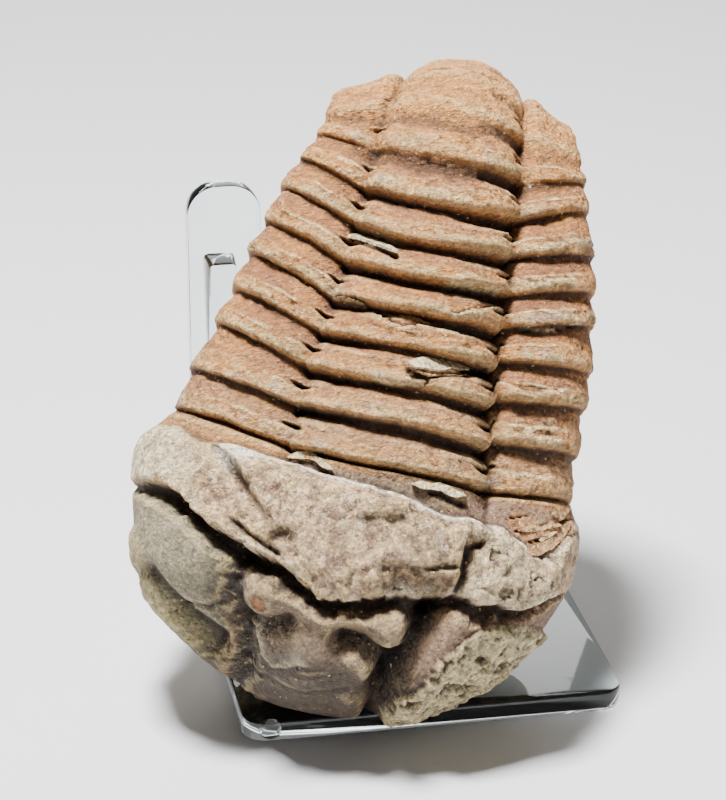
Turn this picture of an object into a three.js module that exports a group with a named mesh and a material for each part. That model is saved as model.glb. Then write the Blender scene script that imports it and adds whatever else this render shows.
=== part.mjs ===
// Fossil trilobite leaning on a small clear stand. Millimetres, +Z up.
// Origin: centre of the base plate's underside. +X is the stand's right seen from the front, and
// -Y is the front.
import * as THREE from 'three';

// Stand sizes.
const BASE_WIDTH = 56;
const BASE_DEPTH = 62;
const BASE_THICKNESS = 3;
const BASE_CORNER_RADIUS = 3.5;
const EDGE_CHAMFER = 0.35;
const CORNER_SEGMENTS = 4;
const PIECE_GAP = 0.3;

const POST_WIDTH = 11.3;
const POST_THICKNESS = 3.2;
const POST_FRONT_Y = 23;
const POST_TOP_Z = 65.6;
const POST_TOP_RADIUS = 4.6;
const POST_INSET = 0.1;

const RIB_WIDTH = 3.9;
const RIB_DEPTH = 4;
const RIB_TOP_Z = 52;
const RIB_CORNER_RADIUS = 0.6;

// Fossil placing: turned to the front, tilted to the right and leaning back.
const FOSSIL_ORIGIN = new THREE.Vector3(-2.7, -14.55, 45.0);
const FOSSIL_YAW = THREE.MathUtils.degToRad(-9);
const FOSSIL_LEAN = THREE.MathUtils.degToRad(-29);
const FOSSIL_TILT = THREE.MathUtils.degToRad(10.9);
const REST_HEIGHT = BASE_THICKNESS + 0.2;
const REST_SOFTNESS = 0.6;

// Mesh density.
const FRONT_COLUMNS = 30;
const BACK_COLUMNS = 10;

// Fossil sections from the snout underside to the back of the tail. In the fossil's own frame u is across,
// w runs along the body towards the tail and n points out of the back shell.
// dorsal [w, n]; margin [left dw, right dw, n]; sides [left u, right u]; ventral [w, n];
// axis [centre u, half width, arch height]; inner [left furrow dw, right inside dw, right outside dw]
const STATIONS = [
  { dorsal: [-43, -9.5], margin: [0, 0, -9.5], sides: [-4, -4],
    ventral: [-43, -9.5], axis: [-4, 9, 0] },
  { dorsal: [-45.3, -6], margin: [0.8, 0.8, -8.5], sides: [-10.5, 2.5],
    ventral: [-42.3, -11], axis: [-4, 9, 0] },
  { dorsal: [-46.4, -2], margin: [2.4, 2.6, -6.5], sides: [-15.5, 8.5],
    ventral: [-41, -13.3], axis: [-3, 9, 0] },
  { dorsal: [-46.2, 3], margin: [5, 4, -4], sides: [-21, 14],
    ventral: [-39.6, -15.8], axis: [-2, 9, 0] },
  { dorsal: [-43.8, 8], margin: [6.2, 4.8, -2], sides: [-25.6, 19],
    ventral: [-38, -18.6], axis: [-1, 9, 0] },
  { dorsal: [-40, 12.3], margin: [6.2, 4.8, -0.8], sides: [-28.8, 22.2],
    ventral: [-36.3, -21.5], axis: [0, 9, 0] },
  { dorsal: [-36, 15], margin: [5.6, 4.6, 0], sides: [-31, 24.8],
    ventral: [-34, -24.5], axis: [0.5, 10, 0] },
  { dorsal: [-32, 16.4], margin: [5, 4.4, 0], sides: [-32.4, 26.8],
    ventral: [-30, -27], axis: [0.8, 11, 0] },
  { dorsal: [-27.5, 16.6], margin: [4.6, 4, 0], sides: [-34, 28.4],
    ventral: [-25, -28.3], axis: [0.9, 12.5, 1] },
  { dorsal: [-22, 16], margin: [4.5, 3.4, 0], sides: [-35.2, 28.9],
    ventral: [-20, -28.8], axis: [1, 13.5, 2.6], inner: [1.5, 0.5, 0.7] },
  { dorsal: [-17.3, 15], margin: [4.6, 2.6, 0], sides: [-34.8, 28.6],
    ventral: [-15, -29], axis: [0.6, 14, 3.8], inner: [1.5, 0.5, 0.7] },
  { dorsal: [-12.8, 13.8], margin: [4.8, 1.7, 0.5], sides: [-31.2, 27],
    ventral: [-11, -29], axis: [0.4, 14.2, 4.6], inner: [1.6, 0.1, 0.3] },
  { dorsal: [-6.4, 13.7], margin: [4.4, 1.8, 1], sides: [-29.8, 26.6],
    ventral: [-5, -29], axis: [0, 14, 4.8], inner: [0.9, -0.9, 0.5] },
  { dorsal: [-1.4, 13.3], margin: [6.1, 3.4, 1.5], sides: [-27.6, 26.6],
    ventral: [1, -29], axis: [-0.1, 13.6, 4.9], inner: [1.3, 0.3, 1.4] },
  { dorsal: [4.1, 12.9], margin: [6, 3.2, 1.5], sides: [-26.1, 26.6],
    ventral: [6, -29], axis: [0.1, 12.8, 5], inner: [1.1, 0.1, 1.7] },
  { dorsal: [8.9, 12.4], margin: [6.6, 5.1, 1.5], sides: [-24.9, 25.8],
    ventral: [11, -29], axis: [0.5, 12.4, 5], inner: [1.5, 1, 1.7] },
  { dorsal: [13.5, 11.7], margin: [7.1, 5.4, 1.5], sides: [-23.5, 25.2],
    ventral: [15.5, -29], axis: [0.7, 11.9, 5], inner: [2.4, 1.7, 1.7] },
  { dorsal: [18.5, 10.8], margin: [7.3, 5.7, 1.3], sides: [-22, 24.2],
    ventral: [19.5, -29], axis: [0.8, 11.5, 5], inner: [3.2, 1.9, 2.3] },
  { dorsal: [24.1, 9.5], margin: [6.8, 6.2, 1], sides: [-20.2, 22.5],
    ventral: [23, -29], axis: [1, 11.3, 5], inner: [2.9, 2.2, 2.2] },
  { dorsal: [31, 7.5], margin: [3.9, 3.7, 0.5], sides: [-18.2, 21.3],
    ventral: [26, -28.2], axis: [1.1, 11, 4.9], inner: [2.4, 1.4, 1.3] },
  { dorsal: [37.8, 5], margin: [0.4, 0, 0], sides: [-17.5, 20.3],
    ventral: [28.5, -27.8], axis: [1.1, 10.4, 4.7], inner: [1.4, 0.6, 0.3] },
  { dorsal: [43, 2.2], margin: [-1.7, -1.3, -1.2], sides: [-17, 19],
    ventral: [30.3, -27.5], axis: [1.4, 9.5, 4.4], inner: [0.6, 0.3, 0] },
  { dorsal: [46.6, -2.4], margin: [-3, -2.5, -4.5], sides: [-16, 17.8],
    ventral: [31.3, -27.4], axis: [1.7, 8.9, 4], inner: [-0.2, -0.2, -0.6] },
  { dorsal: [47.8, -8.4], margin: [-3.5, -3.1, -9], sides: [-14.6, 16.3],
    ventral: [31.8, -27.4], axis: [1.8, 8.4, 3.5], inner: [-0.6, -0.6, -0.8] },
  { dorsal: [47, -14.8], margin: [-3.4, -3.4, -14], sides: [-12.7, 15],
    ventral: [32.2, -27.5], axis: [1.9, 8, 2.6] },
  { dorsal: [44, -20.4], margin: [-3.6, -3.6, -18.2], sides: [-11, 13.2],
    ventral: [32.6, -27.6], axis: [2, 7, 1.6] },
  { dorsal: [39.2, -24.9], margin: [-2.6, -2.6, -22.4], sides: [-7.5, 9.8],
    ventral: [32.8, -27.7], axis: [2, 6, 0.6] },
  { dorsal: [33, -27.8], margin: [0, 0, -27.8], sides: [2, 2],
    ventral: [33, -27.8], axis: [2, 6, 0] },
];
const FIRST_FURROW = 11;
const LAST_FURROW = 23;
const LAST_STATION = STATIONS.length - 1;

// rock band over the neck: its two edges as [u, w] points
const BAND_TOP = [
  [-40, -9.5], [-34.3, -11], [-32.4, -10.6], [-29.2, -10.7], [-25.8, -12.7], [-22, -12.2], [-17.5, -12.7],
  [-11.7, -13.6], [-7.4, -14.6], [-3.2, -15], [1.1, -15.4], [5.4, -16.4], [8.3, -17.3], [12.4, -17],
  [15.2, -17.1], [17.3, -17], [19.6, -18.4], [23.3, -20.1], [25.2, -19], [26.8, -16], [27.9, -13.6],
  [34, -12.6],
];
const BAND_LOW = [
  [-40, -18], [-33.9, -19], [-31, -18.9], [-26.3, -20.6], [-23.9, -22.4], [-21.6, -23.6], [-17.8, -25.5],
  [-14.9, -26.5], [-11.9, -27.6], [-8.8, -29.3], [-5.7, -30.9], [-3.7, -31.1], [1, -30.3], [3.4, -29],
  [4.7, -28.4], [6.3, -29.3], [10.2, -28.5], [12.3, -27.2], [14.3, -28], [18.3, -27.8], [21, -27.5],
  [23.6, -26.5], [26, -25], [29, -22.5], [34, -20],
];
const BAND_CREASE = [[-22.1, -13.2], [-19.8, -15.8], [-16.2, -18.8], [-12.6, -21.9]];
const BAND_BREAK_U = 12;
const BAND_HEIGHT = 3.3;
const NECK_GROOVE = [
  [-36, 0.3], [-33, 1.5], [-29, 2.6], [-22, 3.4], [-15, 3.6], [-8, 2.6], [4, 2.2], [12, 2.6], [20, 2.2],
  [26, 1], [30, 0.3],
];
const NECK_GROOVE_WIDTH = [
  [-36, 2.2], [-26, 3.6], [-18, 3.8], [-4, 2.6], [12, 3.2], [20, 3], [26, 1.5], [30, 0.8],
];

// height of one body segment from its furrow (0) to the next furrow towards the tail (1)
const SEGMENT_PROFILE = [
  [0, -1.35], [0.05, -0.75], [0.11, 0.25], [0.2, 0.75], [0.3, 0.85], [0.42, 0.62], [0.49, 0.42],
  [0.53, 0.05], [0.65, -0.35], [0.8, -0.8], [0.92, -1.2], [1, -1.35],
];
const SEGMENT_FADE = [[11, 1], [19.2, 1], [20, 0.72], [21, 0.34], [22, 0.16], [23, 0.12]];
const SHOULDER_HEIGHT = 1.3;
const RIB_STRENGTH = [[0, 0.95], [0.5, 0.95], [0.8, 0.9], [0.93, 0.7], [1, 0.45]];
const AXIAL_FURROW_DEPTH = 0.9;

// head details: ridges and grooves along [u, w] lines, and round lumps
const HEAD_LINES = [
  { name: 'band crease', height: -0.7, width: 1.5,
    path: [[-21.9, -12.6], [-18.8, -16.2], [-15.8, -19.8], [-13.2, -22.1]] },
  { name: 'left cheek rim', height: 1.3, width: 1.4,
    path: [[-33, -27], [-30.3, -32.1], [-27.6, -35.1], [-23.5, -37.9], [-20.3, -40.1], [-17.2, -41.7]] },
  { name: 'left cheek groove', height: -2, width: 1.3,
    path: [[-29.6, -30.8], [-25.4, -34.3], [-22.2, -36.8], [-18.6, -38.8]] },
  { name: 'broken suture', height: -1.8, width: 1.4,
    path: [[-17.6, -27.6], [-17.3, -31.6], [-16.4, -34.9], [-15, -38.8], [-14.4, -42.6]] },
  { name: 'eye ridge', height: 1.6, width: 1.8,
    path: [[-12.6, -31.2], [-8.3, -32.4], [-4, -33.3], [-0.1, -32.6], [4.9, -33.4]] },
  { name: 'left hollow', height: -2, width: 1.4, path: [[-15.6, -35.2], [-12.5, -35.9], [-9.6, -34.8]] },
  { name: 'right hollow', height: -3, width: 1.5,
    path: [[-1.8, -35.9], [0.9, -36.2], [3, -37.3], [5.4, -38.6]] },
  { name: 'right head groove', height: -5, width: 2,
    path: [[9.6, -29], [8.6, -32.3], [7.4, -36], [5.2, -39.9], [3.7, -43.6], [2.6, -47]] },
  { name: 'right cheek crest', height: 1.6, width: 3.2,
    path: [[13.6, -30.2], [12.4, -34], [9.7, -38.6], [7.4, -42.5]] },
];
const HEAD_LUMPS = [
  { name: 'left cheek', height: 2.2, at: [-24.5, -29], radius: 6.5 },
  { name: 'left eye lobe', height: 2.3, at: [-13.2, -32], radius: 2.6 },
  { name: 'right eye lobe', height: 3, at: [5.2, -34], radius: 2.8 },
  { name: 'front lobe', height: 2, at: [-6.5, -39.6], radius: 4.6 },
  { name: 'lobe lump', height: 1.5, at: [0.3, -38], radius: 1.9 },
  { name: 'border lump', height: 1.4, at: [0.4, -43], radius: 2 },
];

const clamp = THREE.MathUtils.clamp;
const smoothstep = THREE.MathUtils.smoothstep;

/** Linear interpolation in a list of [x, y] pairs. */
function lookUp(pairs, x) {
  if (x <= pairs[0][0]) return pairs[0][1];
  for (let i = 1; i < pairs.length; i += 1) {
    const [x0, y0] = pairs[i - 1];
    const [x1, y1] = pairs[i];
    if (x <= x1) return y0 + ((y1 - y0) * (x - x0)) / (x1 - x0);
  }
  return pairs[pairs.length - 1][1];
}

/** Distance from (u, w) to a path of points. */
function distanceToPath(u, w, path) {
  let best = Infinity;
  for (let i = 1; i < path.length; i += 1) {
    const [au, aw] = path[i - 1];
    const du = path[i][0] - au;
    const dw = path[i][1] - aw;
    const t = clamp(((u - au) * du + (w - aw) * dw) / (du * du + dw * dw), 0, 1);
    best = Math.min(best, Math.hypot(u - au - t * du, w - aw - t * dw));
  }
  return best;
}

const bell = (distance, width) => Math.exp(-((distance / width) ** 2));

// Directions and phases of the rock's slow waves.
const WAVE_TERMS = [
  [1, 0.35, 0.6, 0.3], [-0.6, 1.1, 0.4, 1.7], [0.45, -0.9, 1.2, 4.1], [1.3, 0.9, -0.7, 2.2],
  [-1.5, 0.3, 0.9, 5.3],
];

/** Slow irregular waves, about -1 to 1, for natural rock. */
function waves(u, w, n, scale) {
  let sum = 0;
  for (const [a, b, c, phase] of WAVE_TERMS) sum += Math.sin(scale * (a * u + b * w + c * n) + phase);
  return sum / WAVE_TERMS.length;
}

/** A station's numbers in one row; without inner offsets of its own it takes a share of its margin's. */
function stationRow({ dorsal, margin, sides, ventral, axis, inner }) {
  const [left, right] = margin;
  const offsets = inner ?? [0.25 * left, 0.25 * right, 0.27 * right];
  return [...dorsal, ...margin, ...sides, ...ventral, ...axis, ...offsets];
}
const stationRows = STATIONS.map(stationRow);

/** Catmull-Rom value of all station columns at a fractional station. */
function stationAt(row) {
  const i = clamp(Math.floor(row), 0, LAST_STATION - 1);
  const t = row - i;
  const p0 = stationRows[Math.max(i - 1, 0)];
  const p1 = stationRows[i];
  const p2 = stationRows[i + 1];
  const p3 = stationRows[Math.min(i + 2, LAST_STATION)];
  return p1.map((value, k) => {
    const slope = p2[k] - p0[k];
    const bend = 2 * p0[k] - 5 * value + 4 * p2[k] - p3[k];
    const twist = 3 * value - p0[k] - 3 * p2[k] + p3[k];
    return 0.5 * (2 * value + slope * t + bend * t ** 2 + twist * t ** 3);
  });
}

/** The body's segments and the furrows along both sides of the axis. */
function segmentRelief(row, across, axisShare) {
  const starts = smoothstep(row, FIRST_FURROW - 0.15, FIRST_FURROW);
  const ends = 1 - smoothstep(row, LAST_FURROW - 0.2, LAST_FURROW + 0.2);
  const axisStrength = 1.2 - (0.2 * across) / axisShare;
  const strength = across < axisShare ? axisStrength : lookUp(RIB_STRENGTH, across);
  const profile = lookUp(SEGMENT_PROFILE, row - Math.floor(row));
  const furrowed = smoothstep(row, 9.8, 11) * (1 - smoothstep(row, 23.5, 26));
  const shallow = 1 - 0.5 * smoothstep(row, 19.5, 21.5);
  return starts * ends * profile * strength * lookUp(SEGMENT_FADE, row)
    - furrowed * shallow * AXIAL_FURROW_DEPTH * bell(across - axisShare, 0.075);
}

/** The rock band's broken faces, as the lowest of several slopes, and the deep groove under it. */
function bandRelief(u, w, row, across) {
  const low = lookUp(BAND_LOW, u);
  const up = lookUp(BAND_TOP, u) - w;
  const down = w - low;
  const onHead = 1 - smoothstep(row, 11.6, 12.2);
  const sideFade = 1 - 0.8 * smoothstep(across, 0.8, 1);
  const band = smoothstep(up, -0.35, 0.35) * smoothstep(down, -0.3, 0.5);
  const crease = lookUp(BAND_CREASE, w);
  const faces = [
    BAND_HEIGHT + 0.03 * (w + 22),
    Math.max(3.1 + 0.42 * (u - crease), 1.5),
    1.4 + 0.55 * down,
    0.55 + 1.15 * up,
    u > BAND_BREAK_U ? 2.9 - 0.02 * (u - 19) ** 2 : BAND_HEIGHT,
  ];
  const slab = Math.min(...faces) + 0.3 * waves(u, w, 0, 0.4);
  const depth = lookUp(NECK_GROOVE, u);
  const width = lookUp(NECK_GROOVE_WIDTH, u);
  const groove = smoothstep(down, -width, -0.45 * width) * (1 - smoothstep(down, -0.6, 0.2));
  return onHead * (band * slab * sideFade - depth * groove);
}

/** All relief as one height along the surface normal. */
function relief(u, w, n, row, across, axisShare, front) {
  let height = segmentRelief(row, across, axisShare) + bandRelief(u, w, row, across);
  for (const line of HEAD_LINES) height += line.height * bell(distanceToPath(u, w, line.path), line.width);
  for (const lump of HEAD_LUMPS) {
    height += lump.height * bell(Math.hypot(u - lump.at[0], w - lump.at[1]), lump.radius);
  }
  const rock = 1.1 * waves(u, w, n, 0.13) + 0.5 * waves(w, n, u, 0.31);
  return front * height + (1 - front) * rock;
}

/** Point of the fossil skin in its own frame: row runs along the body, angle 0 is the shell's middle. */
function fossilPoint(row, angle) {
  const [dW, dN, mL, mR, mN, sL, sR, vW, vN, centre, axisHalf, arch, ...inner] = stationAt(row);
  const [inLeft, inRight, outRight] = inner;
  const sine = Math.sin(angle);
  const cosine = Math.cos(angle);
  const across = Math.abs(sine);
  const along = Math.abs(cosine);
  const isLeft = sine < 0;
  const isFront = cosine > 0;
  const half = Math.max(isLeft ? centre - sL : sR - centre, 1e-6);
  const axisShare = clamp(axisHalf / half, 0.2, 0.9);
  const marginShift = isLeft ? mL : mR;
  const outer = isLeft ? inLeft : outRight;
  const beyond = Math.max(across - axisShare, 0) / (1 - axisShare);
  const shift = across < axisShare
    ? (isLeft ? inLeft : inRight) * (across / axisShare) ** 2
    : outer + (marginShift - outer) * beyond ** 0.9;
  const u = centre + sine * half;
  let w = isFront ? dW + shift : vW + (dW + marginShift - vW) * (1 - along ** 0.8);
  let n = isFront ? mN + (dN - mN) * along ** 0.72 : mN + (vN - mN) * along ** 0.62;

  const step = 0.01;
  const after = stationAt(Math.min(row + step, LAST_STATION));
  const before = stationAt(Math.max(row - step, 0));
  const dorsal = new THREE.Vector2(before[1] - after[1], after[0] - before[0]).normalize();
  const ventral = new THREE.Vector2(after[8] - before[8], before[7] - after[7]).normalize();
  if (isFront) {
    const nearTail = smoothstep(row, 19.3, 21.8) * (1 - smoothstep(row, 23, 25.5));
    const shoulder = SHOULDER_HEIGHT * bell(beyond - 0.24, 0.27) * smoothstep(beyond, 0, 0.1);
    const rise = arch * Math.max(1 - (across / axisShare) ** 2, 0) ** 0.75 + nearTail * shoulder;
    w += dorsal.x * rise;
    n += dorsal.y * rise;
  }
  const mix = smoothstep(cosine, -0.35, 0.35);
  const outwardU = Math.sign(sine) * across ** 1.6;
  const rest = Math.sqrt(Math.max(1 - outwardU * outwardU, 0));
  const front = smoothstep(cosine, -0.62, -0.1);
  const poleFade = smoothstep(row, 0, 1.2) * smoothstep(LAST_STATION - row, 0, 1.2);
  const height = relief(u, w, n, row, across, axisShare, front) * poleFade;
  return new THREE.Vector3(
    u + outwardU * height,
    -(n + (dorsal.y * mix + ventral.y * (1 - mix)) * rest * height),
    w + (dorsal.x * mix + ventral.x * (1 - mix)) * rest * height,
  );
}

/** Fractional stations of the mesh rows: dense where a segment steps, wider on the head and the tail. */
function meshRows() {
  const rows = [];
  for (let i = 0; i < 2; i += 1) rows.push(i, i + 0.5);
  for (let i = 2; i < FIRST_FURROW; i += 1) rows.push(i, i + 0.34, i + 0.67);
  for (let i = FIRST_FURROW; i < LAST_FURROW; i += 1) {
    rows.push(i, i + 0.07, i + 0.16, i + 0.42, i + 0.54, i + 0.78);
  }
  for (let i = LAST_FURROW; i < LAST_STATION; i += 1) rows.push(i, i + 0.5);
  rows.push(LAST_STATION);
  return rows;
}

/** Column angles, closer on the front than on the back. */
function meshAngles() {
  const wrap = Math.PI * 0.56;
  const halfBack = BACK_COLUMNS / 2;
  const backStep = (Math.PI - wrap) / halfBack;
  const angles = [];
  for (let i = 0; i < halfBack; i += 1) angles.push(-Math.PI + backStep * i);
  for (let i = 0; i < FRONT_COLUMNS; i += 1) angles.push(-wrap + (2 * wrap * i) / FRONT_COLUMNS);
  for (let i = 0; i <= halfBack; i += 1) angles.push(wrap + backStep * i);
  return angles;
}

/** The fossil: a sphere mesh whose vertices are moved onto the body's sections. */
function fossilGeometry() {
  const rows = meshRows();
  const angles = meshAngles();
  const geometry = new THREE.SphereGeometry(1, angles.length - 1, rows.length - 1);
  const position = geometry.attributes.position;
  const turn = new THREE.Matrix4().makeRotationZ(FOSSIL_YAW)
    .multiply(new THREE.Matrix4().makeRotationX(FOSSIL_LEAN))
    .multiply(new THREE.Matrix4().makeRotationY(FOSSIL_TILT));
  let index = 0;
  for (let i = rows.length - 1; i >= 0; i -= 1) {
    for (const angle of angles) {
      const point = fossilPoint(rows[i], angle).applyMatrix4(turn).add(FOSSIL_ORIGIN);
      const above = point.z - REST_HEIGHT;
      point.z = REST_HEIGHT + (above + Math.hypot(above, REST_SOFTNESS)) / 2;
      position.setXYZ(index, point.x, point.y, point.z);
      index += 1;
    }
  }
  geometry.computeVertexNormals();
  return geometry;
}

/** Outline of a plate with round corners; the bottom corners can stay square. */
function plateShape(width, height, topRadius, bottomRadius) {
  const half = width / 2;
  const shape = new THREE.Shape();
  shape.moveTo(-half + bottomRadius, 0);
  shape.lineTo(half - bottomRadius, 0);
  if (bottomRadius > 0) {
    shape.absarc(half - bottomRadius, bottomRadius, bottomRadius, -Math.PI / 2, 0, false);
  }
  shape.lineTo(half, height - topRadius);
  shape.absarc(half - topRadius, height - topRadius, topRadius, 0, Math.PI / 2, false);
  shape.lineTo(-half + topRadius, height);
  shape.absarc(-half + topRadius, height - topRadius, topRadius, Math.PI / 2, Math.PI, false);
  shape.lineTo(-half, bottomRadius);
  if (bottomRadius > 0) {
    shape.absarc(-half + bottomRadius, bottomRadius, bottomRadius, Math.PI, Math.PI * 1.5, false);
  }
  return shape;
}

/** A plate of the given outline with chamfered edges; its extrusion runs from 0 to thickness. */
function chamferedPlate(shape, thickness) {
  const geometry = new THREE.ExtrudeGeometry(shape, {
    depth: thickness - 2 * EDGE_CHAMFER,
    bevelEnabled: true,
    bevelThickness: EDGE_CHAMFER,
    bevelSize: EDGE_CHAMFER,
    bevelOffset: -EDGE_CHAMFER,
    bevelSegments: 1,
    curveSegments: CORNER_SEGMENTS,
  });
  geometry.translate(0, 0, EDGE_CHAMFER);
  return geometry;
}

function basePlateGeometry() {
  const shape = plateShape(BASE_WIDTH, BASE_DEPTH, BASE_CORNER_RADIUS, BASE_CORNER_RADIUS);
  return chamferedPlate(shape, BASE_THICKNESS).translate(0, -BASE_DEPTH / 2, 0);
}

const POST_OFFSET_X = BASE_WIDTH / 2 - POST_INSET - POST_WIDTH / 2;
const POST_FOOT_Z = BASE_THICKNESS + PIECE_GAP;

function postGeometry(side) {
  const shape = plateShape(POST_WIDTH, POST_TOP_Z - POST_FOOT_Z, POST_TOP_RADIUS, 0);
  return chamferedPlate(shape, POST_THICKNESS)
    .rotateX(Math.PI / 2)
    .translate(side * POST_OFFSET_X, POST_FRONT_Y + POST_THICKNESS, POST_FOOT_Z);
}

function ribGeometry(side) {
  const shape = plateShape(RIB_WIDTH, RIB_TOP_Z - POST_FOOT_Z, RIB_CORNER_RADIUS, 0);
  return chamferedPlate(shape, RIB_DEPTH)
    .rotateX(Math.PI / 2)
    .translate(side * POST_OFFSET_X, POST_FRONT_Y + POST_THICKNESS + PIECE_GAP + RIB_DEPTH, POST_FOOT_Z);
}

function piece(name, geometry, material) {
  const mesh = new THREE.Mesh(geometry, material);
  mesh.name = name;
  return mesh;
}

const stone = () => new THREE.MeshStandardMaterial({ color: 0xa07a5a, roughness: 0.85, metalness: 0 });
const acrylic = () => new THREE.MeshStandardMaterial({
  color: 0xe4ebee, roughness: 0.08, metalness: 0, transparent: true, opacity: 0.3,
});

const part = new THREE.Group();
part.name = 'fossil_trilobite_on_stand';
part.add(piece('fossil', fossilGeometry(), stone()));
part.add(piece('base_plate', basePlateGeometry(), acrylic()));
part.add(piece('post_left', postGeometry(-1), acrylic()));
part.add(piece('post_right', postGeometry(1), acrylic()));
part.add(piece('rib_left', ribGeometry(-1), acrylic()));
part.add(piece('rib_right', ribGeometry(1), acrylic()));

export default part;
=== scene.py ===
"""Fossil trilobite leaning on a clear stand: the dressed model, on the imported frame."""

import logging
import math
from collections.abc import Sequence
from dataclasses import dataclass, field
from enum import Enum

import bpy
import numpy as np
from mathutils import Matrix, Vector

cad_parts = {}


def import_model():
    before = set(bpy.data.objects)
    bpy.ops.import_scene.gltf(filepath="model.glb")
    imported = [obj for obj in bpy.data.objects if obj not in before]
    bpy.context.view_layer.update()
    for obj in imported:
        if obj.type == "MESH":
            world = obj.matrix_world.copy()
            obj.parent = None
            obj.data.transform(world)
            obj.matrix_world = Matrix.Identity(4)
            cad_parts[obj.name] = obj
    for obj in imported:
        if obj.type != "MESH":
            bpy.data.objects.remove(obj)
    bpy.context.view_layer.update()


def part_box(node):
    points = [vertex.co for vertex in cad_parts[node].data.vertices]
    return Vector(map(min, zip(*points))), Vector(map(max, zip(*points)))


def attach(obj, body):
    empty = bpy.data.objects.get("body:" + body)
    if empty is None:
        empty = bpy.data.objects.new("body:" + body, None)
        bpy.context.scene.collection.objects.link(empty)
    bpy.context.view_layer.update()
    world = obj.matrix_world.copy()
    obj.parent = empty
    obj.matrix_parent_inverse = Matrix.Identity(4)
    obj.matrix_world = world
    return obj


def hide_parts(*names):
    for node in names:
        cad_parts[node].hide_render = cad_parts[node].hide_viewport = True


log = logging.getLogger("fossil")
MM = 0.001
Array = np.ndarray
Path = Sequence[tuple[float, float]]
Triple = tuple[float, float, float]
Socket = bpy.types.NodeSocket
# two places closer than this are the same, m
TOUCH = 1e-6
# rounds of smoothing, and the depth in mm that counts as fully hollow
HOLLOW_SCALES = ((4, 0.16), (40, 1.7))


class Side(Enum):
    """Left or right half of the stand, seen from the front."""

    LEFT = -1
    RIGHT = 1


def smooth(low: float, high: float, x: Array) -> Array:
    """Smooth step from 0 at low to 1 at high."""
    t = np.clip((x - low) / (high - low), 0.0, 1.0)
    return t * t * (3.0 - 2.0 * t)


def between(rise: tuple[float, float], fall: tuple[float, float], x: Array) -> Array:
    """Smooth step up over one span of x and down again over another."""
    return smooth(*rise, x) * (1 - smooth(*fall, x))


def bell(distance: Array, width: float) -> Array:
    """Bell curve of a distance, 1 at zero."""
    return np.exp(-((distance / width) ** 2))


def follow(path: Path, x: Array) -> Array:
    """Second coordinate of a path of points at x."""
    points = np.array(path)
    return np.interp(x, points[:, 0], points[:, 1])


def path_distance(u: Array, w: Array, path: Path) -> Array:
    """Distance in mm from each point (u, w) to a path."""
    best = np.full(u.shape, 1e9)
    for (au, aw), (bu, bw) in zip(path[:-1], path[1:]):
        du, dw = bu - au, bw - aw
        t = np.clip(((u - au) * du + (w - aw) * dw) / math.hypot(du, dw) ** 2, 0.0, 1.0)
        best = np.minimum(best, np.hypot(u - au - t * du, w - aw - t * dw))
    return best


def lattice(ix: Array, iy: Array, iz: Array, seed: int) -> Array:
    """Fixed pseudo-random value from 0 to 1 for each lattice point."""
    h = (ix * 374761393 + iy * 668265263 + iz * 2147483647 + seed * 974634777) & 0xFFFFFFFF
    h = ((h ^ (h >> 13)) * 1274126177) & 0xFFFFFFFF
    return ((h ^ (h >> 16)) & 0xFFFFFF) / 0xFFFFFF


def cloud(points: Array, size: float, seed: int) -> Array:
    """Smooth value noise.

    Args:
        points: Points with three columns, mm.
        size: Size of one noise cell, mm.
        seed: Which noise to give.

    Returns:
        Values from -1 to 1.
    """
    p = points / size
    base = np.floor(p).astype(np.int64)
    t = p - base
    t = t * t * t * (t * (t * 6.0 - 15.0) + 10.0)
    total = np.zeros(points.shape[:-1])
    for dx in (0, 1):
        for dy in (0, 1):
            for dz in (0, 1):
                weight = (
                    np.where(dx, t[..., 0], 1 - t[..., 0])
                    * np.where(dy, t[..., 1], 1 - t[..., 1])
                    * np.where(dz, t[..., 2], 1 - t[..., 2])
                )
                total += weight * lattice(base[..., 0] + dx, base[..., 1] + dy, base[..., 2] + dz, seed)
    return total * 2.0 - 1.0


def facets(points: Array, size: float, seed: int, crisp: float = 14.0) -> Array:
    """Flat chipped faces, each tilted its own way and met along fairly crisp edges.

    Args:
        points: Points with three columns, mm.
        size: Size of a face, mm.
        seed: Which pattern to give.
        crisp: How narrow the edges are.

    Returns:
        Heights of about -0.5 to 0.5.
    """
    p = points / size
    base = np.floor(p).astype(np.int64)
    total = np.zeros(points.shape[:-1])
    weights = np.full(points.shape[:-1], 1e-12)
    for dx in (-1, 0, 1):
        for dy in (-1, 0, 1):
            for dz in (-1, 0, 1):
                cell = base + (dx, dy, dz)
                corner = (cell[..., 0], cell[..., 1], cell[..., 2])
                spot = [lattice(*corner, seed + k) for k in range(3)]
                tilt = [lattice(*corner, seed + 3 + k) - 0.5 for k in range(4)]
                away = [p[..., k] - cell[..., k] - spot[k] for k in range(3)]
                weight = np.exp(-crisp * (away[0] ** 2 + away[1] ** 2 + away[2] ** 2))
                plane = 1.3 * (tilt[0] * away[0] + tilt[1] * away[1] + tilt[2] * away[2]) + 0.5 * tilt[3]
                total += weight * plane
                weights += weight
    return total / weights


def rubble(points: Array, size: float, octaves: int, seed: int) -> Array:
    """Layered value noise, about -1 to 1."""
    total = np.zeros(points.shape[:-1])
    strength, norm = 1.0, 0.0
    for octave in range(octaves):
        total += strength * cloud(points, size / 2**octave, seed + octave)
        norm += strength
        strength *= 0.55
    return total / norm


def blurred(grid: Array, times: int) -> Array:
    """A grid of values smoothed along both directions, round the columns and up to the end rows."""
    for _ in range(times):
        grid = 0.25 * (np.roll(grid, 1, 1) + np.roll(grid, -1, 1)) + 0.5 * grid
        padded = np.concatenate([grid[:1], grid, grid[-1:]])
        grid = 0.25 * (padded[:-2] + padded[2:]) + 0.5 * grid
    return grid


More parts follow.
